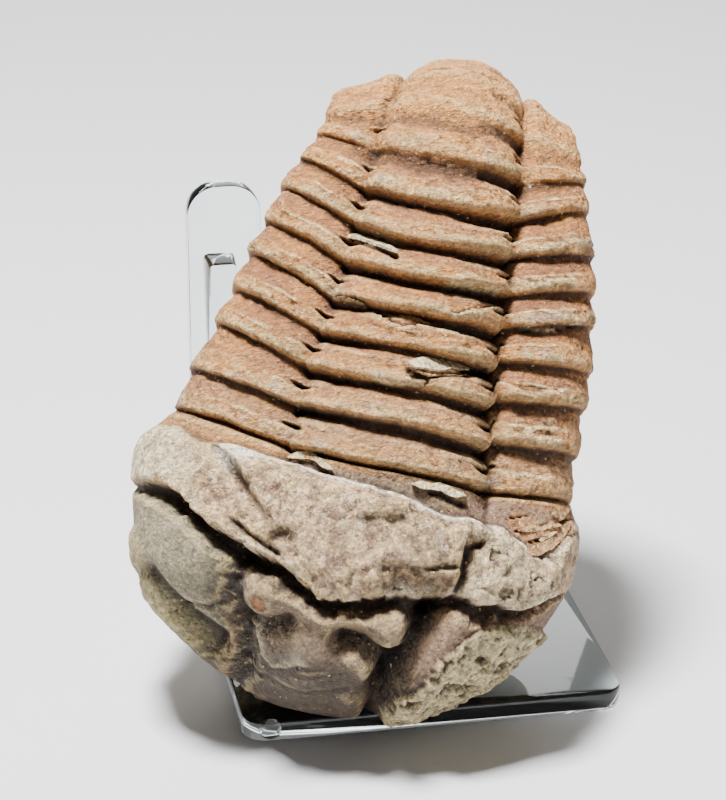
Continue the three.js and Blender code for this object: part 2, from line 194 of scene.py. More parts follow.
def hollows(points: Array) -> tuple[Array, Array]:
    """How hollow (above 0.5) or raised (below) each grid point is, at a fine and a wide scale."""
    found = []
    along = np.gradient(points, axis=0)
    round_it = np.roll(points, -1, 1) - np.roll(points, 1, 1)
    normal = np.cross(along, round_it)
    normal /= np.linalg.norm(normal, axis=-1, keepdims=True) + 1e-9
    outward = np.sign(np.sum(normal * (points - points.mean((0, 1))), axis=-1).mean())
    for times, scale in HOLLOW_SCALES:
        rise = np.sum((blurred(points, times) - points) * normal, axis=-1) * outward
        found.append(np.clip(0.5 + 0.5 * rise / scale, 0, 1))
    return found[0], found[1]


@dataclass(frozen=True)
class Station:
    """One section of the body in its own frame, mm: u across, w towards the tail, n out of the shell."""

    dorsal: tuple[float, float]
    margin: tuple[float, float, float]
    sides: tuple[float, float]
    ventral: tuple[float, float]
    axis: tuple[float, float, float]
    inner: tuple[float, float, float] | None = None


STATIONS = [
    Station((-43.0, -9.5), (0.0, 0.0, -9.5), (-4.0, -4.0), (-43.0, -9.5), (-4.0, 9.0, 0.0)),
    Station((-45.3, -6.0), (0.8, 0.8, -8.5), (-10.5, 2.5), (-42.3, -11.0), (-4.0, 9.0, 0.0)),
    Station((-46.4, -2.0), (2.4, 2.6, -6.5), (-15.5, 8.5), (-41.0, -13.3), (-3.0, 9.0, 0.0)),
    Station((-46.2, 3.0), (5.0, 4.0, -4.0), (-21.0, 14.0), (-39.6, -15.8), (-2.0, 9.0, 0.0)),
    Station((-43.8, 8.0), (6.2, 4.8, -2.0), (-25.6, 19.0), (-38.0, -18.6), (-1.0, 9.0, 0.0)),
    Station((-40.0, 12.3), (6.2, 4.8, -0.8), (-28.8, 22.2), (-36.3, -21.5), (0.0, 9.0, 0.0)),
    Station((-36.0, 15.0), (5.6, 4.6, 0.0), (-31.0, 24.8), (-34.0, -24.5), (0.5, 10.0, 0.0)),
    Station((-32.0, 16.4), (5.0, 4.4, 0.0), (-32.4, 26.8), (-30.0, -27.0), (0.8, 11.0, 0.0)),
    Station((-27.5, 16.6), (4.6, 4.0, 0.0), (-34.0, 28.4), (-25.0, -28.3), (0.9, 12.5, 1.0)),
    Station((-22.0, 16.0), (4.5, 3.4, 0.0), (-35.2, 28.9), (-20.0, -28.8), (1.0, 13.5, 2.6),
            (1.5, 0.5, 0.7)),
    Station((-17.3, 15.0), (4.6, 2.6, 0.0), (-34.8, 28.6), (-15.0, -29.0), (0.6, 14.0, 3.8),
            (1.5, 0.5, 0.7)),
    Station((-12.8, 13.8), (4.8, 1.7, 0.5), (-31.2, 27.0), (-11.0, -29.0), (0.4, 14.2, 4.6),
            (1.6, 0.1, 0.3)),
    Station((-6.4, 13.7), (4.4, 1.8, 1.0), (-29.8, 26.6), (-5.0, -29.0), (0.0, 14.0, 4.8),
            (0.9, -0.9, 0.5)),
    Station((-1.4, 13.3), (6.1, 3.4, 1.5), (-27.6, 26.6), (1.0, -29.0), (-0.1, 13.6, 4.9),
            (1.3, 0.3, 1.4)),
    Station((4.1, 12.9), (6.0, 3.2, 1.5), (-26.1, 26.6), (6.0, -29.0), (0.1, 12.8, 5.0),
            (1.1, 0.1, 1.7)),
    Station((8.9, 12.4), (6.6, 5.1, 1.5), (-24.9, 25.8), (11.0, -29.0), (0.5, 12.4, 5.0),
            (1.5, 1.0, 1.7)),
    Station((13.5, 11.7), (7.1, 5.4, 1.5), (-23.5, 25.2), (15.5, -29.0), (0.7, 11.9, 5.0),
            (2.4, 1.7, 1.7)),
    Station((18.5, 10.8), (7.3, 5.7, 1.3), (-22.0, 24.2), (19.5, -29.0), (0.8, 11.5, 5.0),
            (3.2, 1.9, 2.3)),
    Station((24.1, 9.5), (6.8, 6.2, 1.0), (-20.2, 22.5), (23.0, -29.0), (1.0, 11.3, 5.0),
            (2.9, 2.2, 2.2)),
    Station((31.0, 7.5), (3.9, 3.7, 0.5), (-18.2, 21.3), (26.0, -28.2), (1.1, 11.0, 4.9),
            (2.4, 1.4, 1.3)),
    Station((37.8, 5.0), (0.4, 0.0, 0.0), (-17.5, 20.3), (28.5, -27.8), (1.1, 10.4, 4.7),
            (1.4, 0.6, 0.3)),
    Station((43.0, 2.2), (-1.7, -1.3, -1.2), (-17.0, 19.0), (30.3, -27.5), (1.4, 9.5, 4.4),
            (0.6, 0.3, 0.0)),
    Station((46.6, -2.4), (-3.0, -2.5, -4.5), (-16.0, 17.8), (31.3, -27.4), (1.7, 8.9, 4.0),
            (-0.2, -0.2, -0.6)),
    Station((47.8, -8.4), (-3.5, -3.1, -9.0), (-14.6, 16.3), (31.8, -27.4), (1.8, 8.4, 3.5),
            (-0.6, -0.6, -0.8)),
    Station((47.0, -14.8), (-3.4, -3.4, -14.0), (-12.7, 15.0), (32.2, -27.5), (1.9, 8.0, 2.6)),
    Station((44.0, -20.4), (-3.6, -3.6, -18.2), (-11.0, 13.2), (32.6, -27.6), (2.0, 7.0, 1.6)),
    Station((39.2, -24.9), (-2.6, -2.6, -22.4), (-7.5, 9.8), (32.8, -27.7), (2.0, 6.0, 0.6)),
    Station((33.0, -27.8), (0.0, 0.0, -27.8), (2.0, 2.0), (33.0, -27.8), (2.0, 6.0, 0.0)),
]
FIRST_FURROW = 11
LAST_FURROW = 23
LAST_STATION = len(STATIONS) - 1
SHOULDER = 1.3

BAND_TOP: Path = [
    (-40, -9.5), (-34.3, -11), (-32.4, -10.6), (-29.2, -10.7), (-25.8, -12.7), (-22, -12.2),
    (-17.5, -12.7), (-11.7, -13.6), (-7.4, -14.6), (-3.2, -15), (1.1, -15.4), (5.4, -16.4),
    (8.3, -17.3), (12.4, -17), (15.2, -17.1), (17.3, -17), (19.6, -18.4), (23.3, -20.1), (25.2, -19),
    (26.8, -16), (27.9, -13.6), (34, -12.6),
]
BAND_LOW: Path = [
    (-40, -18), (-33.9, -19), (-31, -18.9), (-26.3, -20.6), (-23.9, -22.4), (-21.6, -23.6),
    (-17.8, -25.5), (-14.9, -26.5), (-11.9, -27.6), (-8.8, -29.3), (-5.7, -30.9), (-3.7, -31.1),
    (1, -30.3), (3.4, -29), (4.7, -28.4), (6.3, -29.3), (10.2, -28.5), (12.3, -27.2), (14.3, -28),
    (18.3, -27.8), (21, -27.5), (23.6, -26.5), (26, -25), (29, -22.5), (34, -20),
]
NECK_GROOVE: Path = [
    (-36, 0.3), (-33, 1.5), (-29, 2.6), (-22, 3.4), (-15, 3.6), (-8, 2.6), (4, 2.2), (12, 2.6),
    (20, 2.2), (26, 1.0), (30, 0.3),
]
NECK_GROOVE_WIDTH: Path = [
    (-36, 2.2), (-26, 3.6), (-18, 3.8), (-4, 2.6), (12, 3.2), (20, 3.0), (26, 1.5), (30, 0.8),
]
BAND_CREASE: Path = [(-22.1, -13.2), (-19.8, -15.8), (-16.2, -18.8), (-12.6, -21.9)]
SLAB_CRACK: Path = [(14.0, -20.4), (12.6, -21.2), (12.7, -24.9), (12.2, -27.4)]
SLAB_DENT: Path = [(-13.2, -24.2), (-12.0, -23.8), (-10.9, -24.0)]
SLAB_SPLIT: Path = [(-18.8, -22.9), (-16.5, -24.4), (-14.9, -25.1), (-12.4, -26.1)]
SLAB_LAYER: Path = [(2.1, -26.1), (4.0, -25.4), (7.9, -25.1), (9.7, -24.4), (11.2, -24.0)]
RECESS: Path = [(19.5, -15.6), (23.0, -17.4), (26.2, -14.8)]
SLIVER: Path = [(-30.3, -18.6), (-28.7, -20.0), (-25.5, -22.1), (-23.3, -23.8)]
CHIP_EDGE: Path = [(-14, -37.0), (-12.4, -39.8), (-10.4, -41.0), (-8.6, -40.4), (-7, -39.5)]
MIDDLE_EDGE: Path = [(-47, 2.6), (-43.6, 3.7), (-39.9, 5.2), (-36, 7.4), (-29, 9.6)]
AXIS_PROFILE: Path = [
    (0, -1.6), (0.035, -1.25), (0.07, -0.2), (0.11, 0.42), (0.17, 0.76), (0.25, 0.88), (0.34, 0.8),
    (0.44, 0.58), (0.54, 0.3), (0.64, 0.02), (0.74, -0.36), (0.84, -0.86), (0.93, -1.35), (1, -1.6),
]
SIDE_PROFILE: Path = [
    (0, -1.5), (0.035, -1.15), (0.07, -0.1), (0.11, 0.4), (0.17, 0.7), (0.25, 0.8), (0.34, 0.72),
    (0.43, 0.52), (0.5, 0.36), (0.56, 0.08), (0.63, -0.2), (0.72, -0.56), (0.82, -0.95), (0.91, -1.28),
    (1, -1.5),
]
SEGMENT_FADE: Path = [(11, 1), (18.6, 1), (19.4, 0.8), (20.0, 0.5), (21.0, 0.24), (22, 0.13), (23, 0.1)]
CREAM_EDGE: Path = [
    (-44.3, 5.9), (-40.8, 8.0), (-38.0, 10.3), (-35.9, 12.0), (-32.8, 14.2), (-30.7, 17.9),
    (-29.7, 21.2),
]


@dataclass(frozen=True)
class HeadLine:
    """A ridge (positive height) or groove of the head along a path, mm."""

    name: str
    height: float
    width: float
    path: Path


@dataclass(frozen=True)
class Lump:
    """A round swelling of the head, mm."""

    name: str
    height: float
    at: tuple[float, float]
    radius: float


HEAD_LINES = [
    HeadLine("left cheek rim", 1.3, 1.3,
             ((-33, -27), (-30.3, -32.1), (-27.6, -35.1), (-23.5, -37.9), (-20.3, -40.1), (-17.2, -41.7))),
    HeadLine("left cheek groove", -2.0, 1.2,
             ((-29.6, -30.8), (-25.4, -34.3), (-22.2, -36.8), (-18.6, -38.8))),
    HeadLine("broken suture", -1.8, 1.2,
             ((-17.6, -27.6), (-17.3, -31.6), (-16.4, -34.9), (-15.0, -38.8), (-14.4, -42.6))),
    HeadLine("eye ridge", 1.6, 1.7,
             ((-12.6, -31.2), (-8.3, -32.4), (-4.0, -33.3), (-0.1, -32.6), (4.9, -33.4))),
    HeadLine("left hollow", -2.0, 1.3, ((-15.6, -35.2), (-12.5, -35.9), (-9.6, -34.8))),
    HeadLine("right hollow", -3.0, 1.4, ((-1.8, -35.9), (0.9, -36.2), (3.0, -37.3), (5.4, -38.6))),
    HeadLine("right head groove", -6.0, 1.9,
             ((9.6, -29.0), (8.6, -32.3), (7.4, -36.0), (5.4, -39.9), (4.6, -42.4))),
    HeadLine("right cheek crest", 1.6, 3.2, ((13.6, -30.2), (12.4, -34.0), (9.7, -38.6), (7.4, -42.5))),
    HeadLine("right eye slit", -1.2, 0.5, ((4.4, -36.6), (5.4, -35.4), (6.8, -34.2))),
    HeadLine("groove foot", -2.6, 1.3, ((4.6, -42.4), (4.2, -46.0))),
    HeadLine("border wrinkle", -0.3, 0.28,
             ((-14.5, -42.3), (-11.8, -42.4), (-8.9, -42.9), (-5.9, -43.4), (-2.5, -42.9), (0.2, -41.8))),
    HeadLine("lobe wrinkle", -0.2, 0.25, ((-9.3, -40.8), (-6.3, -40.9), (-3.1, -40.7), (-0.3, -40.0))),
    HeadLine("upper wrinkle", -0.16, 0.22, ((-9.9, -39.6), (-7.0, -39.9), (-3.6, -39.6))),
    HeadLine("left cheek crack", -0.5, 0.3,
             ((-25.2, -35.0), (-22.4, -34.4), (-20.4, -34.5), (-18.7, -33.6))),
]
LUMPS = [
    Lump("left cheek", 2.2, (-24.5, -29.0), 6.5),
    Lump("left eye lobe", 2.5, (-13.4, -31.6), 2.7),
    Lump("right eye lobe", 2.8, (5.2, -33.8), 2.7),
    Lump("right lobe tip", 1.5, (6.6, -35.6), 1.9),
    Lump("front lobe", 2.0, (-6.5, -39.6), 4.6),
    Lump("lobe lump", 1.5, (0.3, -38.0), 1.8),
    Lump("small lump", 1.0, (2.2, -39.9), 1.4),
    Lump("border lump", 1.0, (0.4, -43.0), 1.9),
    Lump("pale bump", 0.8, (2.2, -39.0), 1.1),
]


@dataclass(frozen=True)
class Gap:
    """A dark gap in the shell, under a loose flake or beside it, mm."""

    path: Path
    width: float
    depth: float


GAPS = [
    Gap(((-10.8, 19.3), (-9.1, 19.1), (-7.5, 18.5), (-6.1, 18.1), (-4.9, 17.6), (-3.9, 17.1)), 0.4, 1.0),
    Gap(((0.8, 1.4), (2.0, 1.0), (3.1, 0.9), (4.4, 1.6), (6.5, 2.3), (8.8, 3.0)), 0.5, 1.2),
    Gap(((8.9, 3.5), (10.4, 3.9), (11.8, 4.2)), 0.8, 2.0),
    Gap(((6.6, -14.3), (8.0, -14.2), (9.1, -14.6), (10.0, -14.9), (11.1, -15.0)), 0.4, 0.8),
    Gap(((-12.6, -13.3), (-11.7, -13.0), (-10.2, -13.1), (-9.0, -13.8), (-7.7, -14.2)), 0.35, 0.7),
    Gap(((-14.1, -6.2), (-13.4, -5.4), (-11.4, -5.6)), 0.4, 0.9),
]


@dataclass(frozen=True)
class Flake:
    """A thin loose plate: how it lies, its colour zone and its two long edges in the shell's frame, mm."""

    name: str
    lift: float
    tilt: float
    zone: str
    upper: Path
    lower: Path
    thickness: float = 0.35


FLAKES = [
    Flake(
        "flake_left", 0.1, 0.5, "crust",
        ((-11.1, 20.5), (-9.8, 20.9), (-8.3, 20.6), (-6.6, 20.0), (-5.0, 19.3), (-3.8, 18.5)),
        ((-11.1, 19.8), (-9.4, 19.9), (-7.7, 19.2), (-6.2, 18.7), (-5.0, 18.2), (-3.9, 17.7)),
    ),
    Flake(
        "flake_right", 0.25, 0.4, "crust",
        ((0.3, 2.9), (1.2, 3.5), (2.6, 4.1), (4.4, 4.2), (6.0, 4.5), (7.0, 4.3), (8.9, 4.2)),
        ((0.4, 1.9), (1.6, 2.1), (3.0, 2.3), (4.6, 2.4), (5.6, 2.7), (6.8, 3.4), (9.0, 3.6)),
    ),
    Flake(
        "flake_right_under", 0.1, 0.3, "plates",
        ((1.8, 1.9), (3.4, 1.9), (5.2, 2.2), (7.0, 2.6), (8.9, 3.0)),
        ((2.2, 1.5), (3.6, 1.4), (5.3, 1.8), (7.0, 2.3), (8.9, 2.8)),
    ),
    Flake(
        "flake_neck_right", 0.2, 0.8, "crust",
        ((3.9, -13.4), (5.2, -13.0), (6.4, -13.1), (7.6, -12.7), (8.8, -13.0),
         (10.2, -13.3), (11.4, -13.4)),
        ((4.0, -14.2), (5.2, -14.2), (6.6, -14.0), (7.9, -13.9), (9.0, -14.2),
         (10.0, -14.4), (11.2, -14.2)),
    ),
    Flake(
        "flake_neck_left", 0.1, 0.3, "crust",
        ((-13.6, -12.3), (-12.6, -11.6), (-11.2, -11.5), (-10.2, -11.7), (-9.2, -12.2),
         (-8.2, -12.8), (-7.2, -13.3)),
        ((-13.5, -12.9), (-12.2, -12.7), (-10.8, -12.5), (-9.8, -12.8), (-8.8, -13.4),
         (-7.9, -13.8), (-7.2, -13.9)),
    ),
    Flake(
        "recess_plate_low", 0.1, 0.2, "plates",
        ((21.2, -19.4), (22.4, -18.3), (24.2, -17.2), (25.2, -15.9), (26.0, -14.5), (27.0, -13.0)),
        ((21.6, -20.3), (23.2, -19.7), (24.8, -18.5), (26.0, -17.0), (26.9, -15.5), (27.6, -13.6)),
    ),
    Flake(
        "recess_plate_top", 0.1, 0.3, "plates",
        ((24.0, -13.3), (25.4, -12.3), (26.8, -11.0)),
        ((24.1, -13.7), (25.6, -14.0), (27.0, -12.0)),
    ),
    Flake(
        "recess_plate_mid", 0.0, 0.3, "plates",
        ((19.8, -16.5), (21.2, -15.7), (22.6, -15.0), (24.6, -14.2), (25.7, -14.6)),
        ((19.9, -17.1), (21.4, -16.7), (22.9, -16.2), (24.5, -15.5), (25.6, -15.0)),
    ),
    Flake(
        "recess_plate_small", 0.0, 0.3, "crust",
        ((22.8, -17.3), (23.9, -16.3), (25.1, -15.7)),
        ((22.9, -17.8), (24.1, -17.0), (25.0, -16.1)),
    ),
]


@dataclass(frozen=True)
class Peel:
    """A shell layer that ends along a ragged broken edge, mm.

    The layer lies on the tail side of the path if side is 1, and on the head side if it is -1.
    """

    path: Path
    side: int
    height: float
    reach: float
    gap: float


PEELS = [
    Peel(((3.9, 14.4), (5.4, 14.8), (7.3, 14.9), (9.5, 15.0), (11.3, 15.4)), 1, 0.9, 2.2, 0.9),
    Peel(((5.3, 10.2), (7.8, 11.6), (11.5, 13.4), (13.0, 12.9)), -1, 0.9, 2.6, 0.5),
    Peel(((-10.8, 10.7), (-7.2, 10.1), (-5.1, 9.2), (-3.0, 8.0), (-1.2, 7.5), (1.0, 8.3), (3.9, 8.3),
          (7.8, 8.2)), -1, 0.8, 1.8, 0.9),
    Peel(((-3.7, -0.4), (-1.5, -0.9), (0.2, -0.5), (2.5, -0.4), (3.3, 0.6)), 1, 0.6, 1.6, 0.6),
    Peel(((15.7, 11.3), (18.0, 11.5), (20.4, 12.1), (23.1, 13.5)), 1, 0.6, 1.6, 0.6),
    Peel(((11.0, 24.1), (13.8, 23.5), (15.4, 23.3), (16.9, 24.0), (19.7, 25.3), (22.5, 26.6)),
         -1, 0.55, 1.3, 0.15),
    Peel(((12.5, 18.9), (14.0, 18.1), (15.9, 17.7), (17.2, 18.6), (20.7, 20.0)), -1, 0.55, 1.3, 0.15),
    Peel(((10.3, 2.9), (13.9, 3.2), (16.0, 2.6), (18.4, 2.4), (20.2, 3.2), (22.6, 4.0)),
         -1, 0.55, 1.3, 0.15),
    Peel(((16.5, -3.4), (18.6, -3.0), (21.0, -3.2), (23.0, -2.9)), -1, 0.6, 1.6, 0.12),
    Peel(((9.9, -9.0), (11.4, -8.9), (13.0, -9.4), (14.4, -8.6)), 1, 0.4, 1.4, 0.3),
]


@dataclass
class Skin:
    """Everything known at each point of the fossil's surface."""

    u: Array
    w: Array
    n: Array
    row: Array
    sine: Array
    axis_share: Array
    front: Array
    height: Array = field(default_factory=lambda: np.zeros(0))
    zones: dict[str, Array] = field(default_factory=dict)

    @property
    def across(self) -> Array:
        """How far from the axis, 0 to 1 at the margin."""
        return np.abs(self.sine)

    @property
    def spot(self) -> Array:
        """Points with three columns, for noise."""
        return np.stack([self.u, self.w, self.n], axis=-1)


class FossilShape:
    """The trilobite and its rock as rows of sections, with all relief along the surface normal."""

    def __init__(self) -> None:
        """Collect the station values as columns."""
        rows = []
        for station in STATIONS:
            left, right, _ = station.margin
            # a section without values of its own bends beside the axis in step with its margins
            inner = station.inner or (0.25 * left, 0.25 * right, 0.27 * right)
            outline = (*station.dorsal, *station.margin, *station.sides, *station.ventral)
            rows.append((*outline, *station.axis, *inner))
        self.table = np.array(rows)

    def at(self, row: Array) -> Array:
        """Station values at fractional stations, on a curve through all of them."""
        i = np.clip(np.floor(row).astype(int), 0, LAST_STATION - 1)
        t = (row - i)[..., None]
        p0 = self.table[np.maximum(i - 1, 0)]
        p1 = self.table[i]
        p2 = self.table[i + 1]
        p3 = self.table[np.minimum(i + 2, LAST_STATION)]
        return 0.5 * (
            2 * p1
            + (p2 - p0) * t
            + (2 * p0 - 5 * p1 + 4 * p2 - p3) * t**2
            + (3 * p1 - p0 - 3 * p2 + p3) * t**3
        )

    def points(self, row: Array, angle: Array) -> tuple[Array, dict[str, Array]]:
        """Skin points in the fossil's own frame.

        Args:
            row: Fractional station of each point.
            angle: Angle round the section, 0 in the middle of the shell.

        Returns:
            Points as (u, -n, w) in mm, and the colour zones by name.
        """
        values = np.moveaxis(self.at(row), -1, 0)
        dorsal_w, dorsal_n, margin_left, margin_right, margin_n, side_left, side_right = values[:7]
        ventral_w, ventral_n, centre, half_axis, arch, in_left, in_right, out_right = values[7:]
        sine, cosine = np.sin(angle), np.cos(angle)
        across, along = np.abs(sine), np.abs(cosine)
        left, shell = sine < 0, cosine > 0
        half = np.maximum(np.where(left, centre - side_left, side_right - centre), 1e-6)
        axis_share = np.clip(half_axis / half, 0.2, 0.9)
        margin = np.where(left, margin_left, margin_right)
        outer = np.where(left, in_left, out_right)
        beyond = np.clip((across - axis_share) / (1 - axis_share), 0, 1)
        shift = np.where(
            across < axis_share,
            np.where(left, in_left, in_right) * (across / axis_share) ** 2,
            outer + (margin - outer) * beyond**0.9,
        )
        u = centre + sine * half
        behind_w = ventral_w + (dorsal_w + margin - ventral_w) * (1 - along**0.8)
        w = np.where(shell, dorsal_w + shift, behind_w)
        shell_n = margin_n + (dorsal_n - margin_n) * along**0.72
        behind_n = margin_n + (ventral_n - margin_n) * along**0.62
        n = np.where(shell, shell_n, behind_n)

        step = 0.01
        change = self.at(np.minimum(row + step, LAST_STATION)) - self.at(np.maximum(row - step, 0))
        dorsal = np.stack([-change[..., 1], change[..., 0]])
        dorsal /= np.hypot(*dorsal) + 1e-9
        ventral = np.stack([change[..., 8], -change[..., 7]])
        ventral /= np.hypot(*ventral) + 1e-9
        rise = arch * np.clip(1 - (across / axis_share) ** 2, 0, 1) ** 0.75 * shell
        near_tail = between((19.3, 21.8), (23, 25.5), row)
        rise = rise + SHOULDER * near_tail * bell(beyond - 0.24, 0.27) * smooth(0, 0.1, beyond) * shell
        w = w + dorsal[0] * rise
        n = n + dorsal[1] * rise
        mix = smooth(-0.35, 0.35, cosine)
        out_u = np.sign(sine) * across**1.6
        rest = np.sqrt(np.clip(1 - out_u**2, 0, 1))
        skin = Skin(u, w, n, row, sine, axis_share, smooth(-0.62, -0.1, cosine))
        self.carve(skin)
        height = skin.height * smooth(0, 1.2, row) * smooth(0, 1.2, LAST_STATION - row)
        out_w = (dorsal[0] * mix + ventral[0] * (1 - mix)) * rest
        out_n = (dorsal[1] * mix + ventral[1] * (1 - mix)) * rest
        points = np.stack([u + out_u * height, -(n + out_n * height), w + out_w * height], axis=-1)
        return points, skin.zones

    def carve(self, skin: Skin) -> None:
        """Add all relief to the skin and name its colour zones."""
        skin.height = np.zeros(skin.u.shape)
        self.ribs(skin)
        self.head(skin)
        self.band(skin)
        self.gaps_and_peels(skin)
        self.back(skin)

    def ribs(self, skin: Skin) -> None:
        """The body's segments: furrow, rounded band, thin crest edge and sloping ramp, ring by ring."""
        spot, front, row = skin.spot, skin.front, skin.row
        wobble = 0.085 * rubble(spot * (1.0, 0.4, 0.3), 8.0, 3, 11) + 0.02 * cloud(spot, 1.5, 17)
        ring = np.floor(row + wobble)
        t = row + wobble - ring
        fall = (LAST_FURROW - 0.2, LAST_FURROW + 0.2)
        thorax = between((FIRST_FURROW - 0.15, FIRST_FURROW), fall, row)
        in_axis = skin.across < skin.axis_share
        strength = np.where(
            in_axis,
            1.25 - 0.2 * skin.across / skin.axis_share,
            np.interp(skin.across, [0, 0.5, 0.8, 0.93, 1], [1.0, 1.0, 0.95, 0.75, 0.45]),
        )
        uneven = cloud(np.stack([skin.u, ring * 9.0, ring], -1), 8.0, 5)
        strength = strength * (0.93 + 0.4 * uneven)
        fade = follow(SEGMENT_FADE, row)
        gap = np.minimum(t, 1 - t)
        axis_gap = (skin.across - skin.axis_share) * 22.0
        body = thorax * fade * front
        toward_side = smooth(-1.5, 1.5, axis_gap)
        share = skin.sine / skin.axis_share
        own = cloud(np.stack([ring * 5.0, 2.0 * skin.sine, ring], -1), 1.7, 19)
        swell = 1.0 + np.where(in_axis, 0.28 * np.clip(share, -1, 1), 0.0) + 0.3 * own
        warped = t**swell
        profile = follow(AXIS_PROFILE, warped) * (1 - toward_side)
        profile += follow(SIDE_PROFILE, warped) * toward_side
        soft = smooth(17.6, 20.2, row)
        profile = profile * (1 - soft) + 0.95 * np.cos(2 * math.pi * (t - 0.32)) * soft
        skin.height += body * profile * strength
        furrowed = between((9.8, 11), (23.5, 26), row) * (1 - 0.5 * smooth(19.5, 21.5, row))
        skin.height -= front * furrowed * 0.95 * bell(skin.across - skin.axis_share, 0.07)
        # deep shadowed hollows under both ends of each ring, larger on the right
        right_end = between((0.1, 0.85), (0.96, 1.06), share)
        left_end = between((-0.25, -0.8), (-0.98, -1.08), share) * (1 - smooth(16, 19.5, row))
        under = np.where(t > 0.5, t - 1.0, t) + 0.07
        hollow = right_end * bell(under, 0.05 + 0.07 * right_end) + 0.7 * left_end * bell(under, 0.09)
        skin.height -= body * 1.9 * hollow
        skin.height += body * 0.45 * (right_end + 0.8 * left_end) * bell(t - 0.2, 0.1)
        here = 0.5 + 0.5 * cloud(np.stack([ring * 7.0, skin.sine * 3, ring], -1), 1.0, 8)
        at_pit = np.where(skin.sine > 0, axis_gap + 0.5, axis_gap - 0.2)
        pit = np.clip(2.2 * bell(at_pit, 0.85) * bell(t - 0.55, 0.04) * (0.6 + 0.4 * here), 0, 1)
        skin.height -= front * thorax * 1.5 * pit
        skin.height += front * thorax * 0.5 * bell(at_pit, 1.1) * bell(t - 0.64, 0.035) * here
        chips = 0.5 + 0.5 * rubble(spot, 2.6, 2, 31)
        crest = bell(t - 0.49 + 0.05 * cloud(spot, 2.4, 33), 0.03) * body * smooth(0.3, 0.7, chips)
        crest = crest * np.where(in_axis, 0.25, bell(axis_gap - 3.5, 4.5))
        skin.height += crest * 0.4
        # worn and flaking shell: thin layers broken off along ragged lines
        layers = rubble(spot * (0.8, 1.5, 1.0), 5.0, 4, 53)
        flaked = smooth(0.06, 0.1, layers) * (0.35 + 0.65 * bell(t - 0.45, 0.25))
        skin.height -= 0.26 * flaked * thorax * front
        lower_flake = smooth(0.2, 0.235, rubble(spot * (0.7, 1.6, 1.0), 3.4, 3, 57))
        skin.height -= 0.22 * lower_flake * thorax * front * bell(t - 0.3, 0.3)
        streaky = spot * (0.45, 1.6, 1.0)
        streaks = 0.2 * rubble(streaky, 3.0, 4, 41) + 0.22 * facets(streaky, 1.9, 45, 18.0)
        skin.height += front * thorax * streaks
        skin.zones["shell"] = np.clip(smooth(-13.5, -12.5, skin.w) * front, 0, 1)
        # painted shade: the furrows, the axial furrows and the hollows under the ring ends are darkened in
        # colour
        dark = bell(gap, 0.06) * fade**2 + 0.35 * bell(axis_gap, 0.9) * (1 - in_axis * 0.3)
        dark += hollow * fade * (1 - 0.6 * soft)
        skin.zones["furrow"] = np.clip(dark, 0, 1) * thorax * front
        # painted highlight: the top of the tail, which faces the light, is painted a brighter warm orange
        skin.zones["tail_warm"] = smooth(33, 45, skin.w) * front
        skin.zones["dusty"] = smooth(8, -12, skin.w) * smooth(-14, -11, skin.w) * front
        # painted shade: the pits at the ring ends are darkened in colour
        skin.zones["pit"] = pit * thorax * front
        broken = 0.14 * rubble(spot, 3.0, 3, 59)
        ramp = smooth(0.47, 0.6, t + broken) * (1 - smooth(0.86, 1.0, t))
        skin.zones["ramp"] = ramp * thorax * front * np.sqrt(fade)
        skin.zones["crest"] = bell(t - 0.26 + 0.5 * broken, 0.13) * thorax * front
        skin.zones["edge"] = np.clip(crest * 1.5, 0, 1)

    def head(self, skin: Skin) -> None:
        """Cheeks, eye lobes, grooves and borders of the head."""
        u, w, front, spot = skin.u, skin.w, skin.front, skin.spot
        on_head = 1 - smooth(-14, -12, w)
        rough = rubble(spot, 2.0, 3, 61)
        lines = {line.name: path_distance(u, w, line.path) for line in HEAD_LINES}
        for line in HEAD_LINES:
            skin.height += front * line.height * bell(lines[line.name], line.width)
        for lump in LUMPS:
            skin.height += front * lump.height * bell(np.hypot(u - lump.at[0], w - lump.at[1]), lump.radius)
        rim_rough = bell(lines["left cheek rim"], 1.6) * front
        skin.height += rim_rough * (0.7 * facets(spot, 2.2, 83, 26.0) + 0.3 * rubble(spot, 1.8, 3, 87))
        broken = bell(lines["broken suture"], 2.4) * front
        skin.height += broken * (0.5 * rubble(spot, 1.8, 3, 67) + 1.0 * facets(spot, 1.5, 69, 26.0))
        # a chip of shell on the front lobe
        chip = path_distance(u, w, CHIP_EDGE)
        under = 1 - smooth(-0.25, 0.25, w - follow(CHIP_EDGE, u))
        skin.height -= front * 0.6 * bell(chip, 1.3) * under
        skin.zones["chip"] = bell(chip, 0.9) * (1 - under) * front
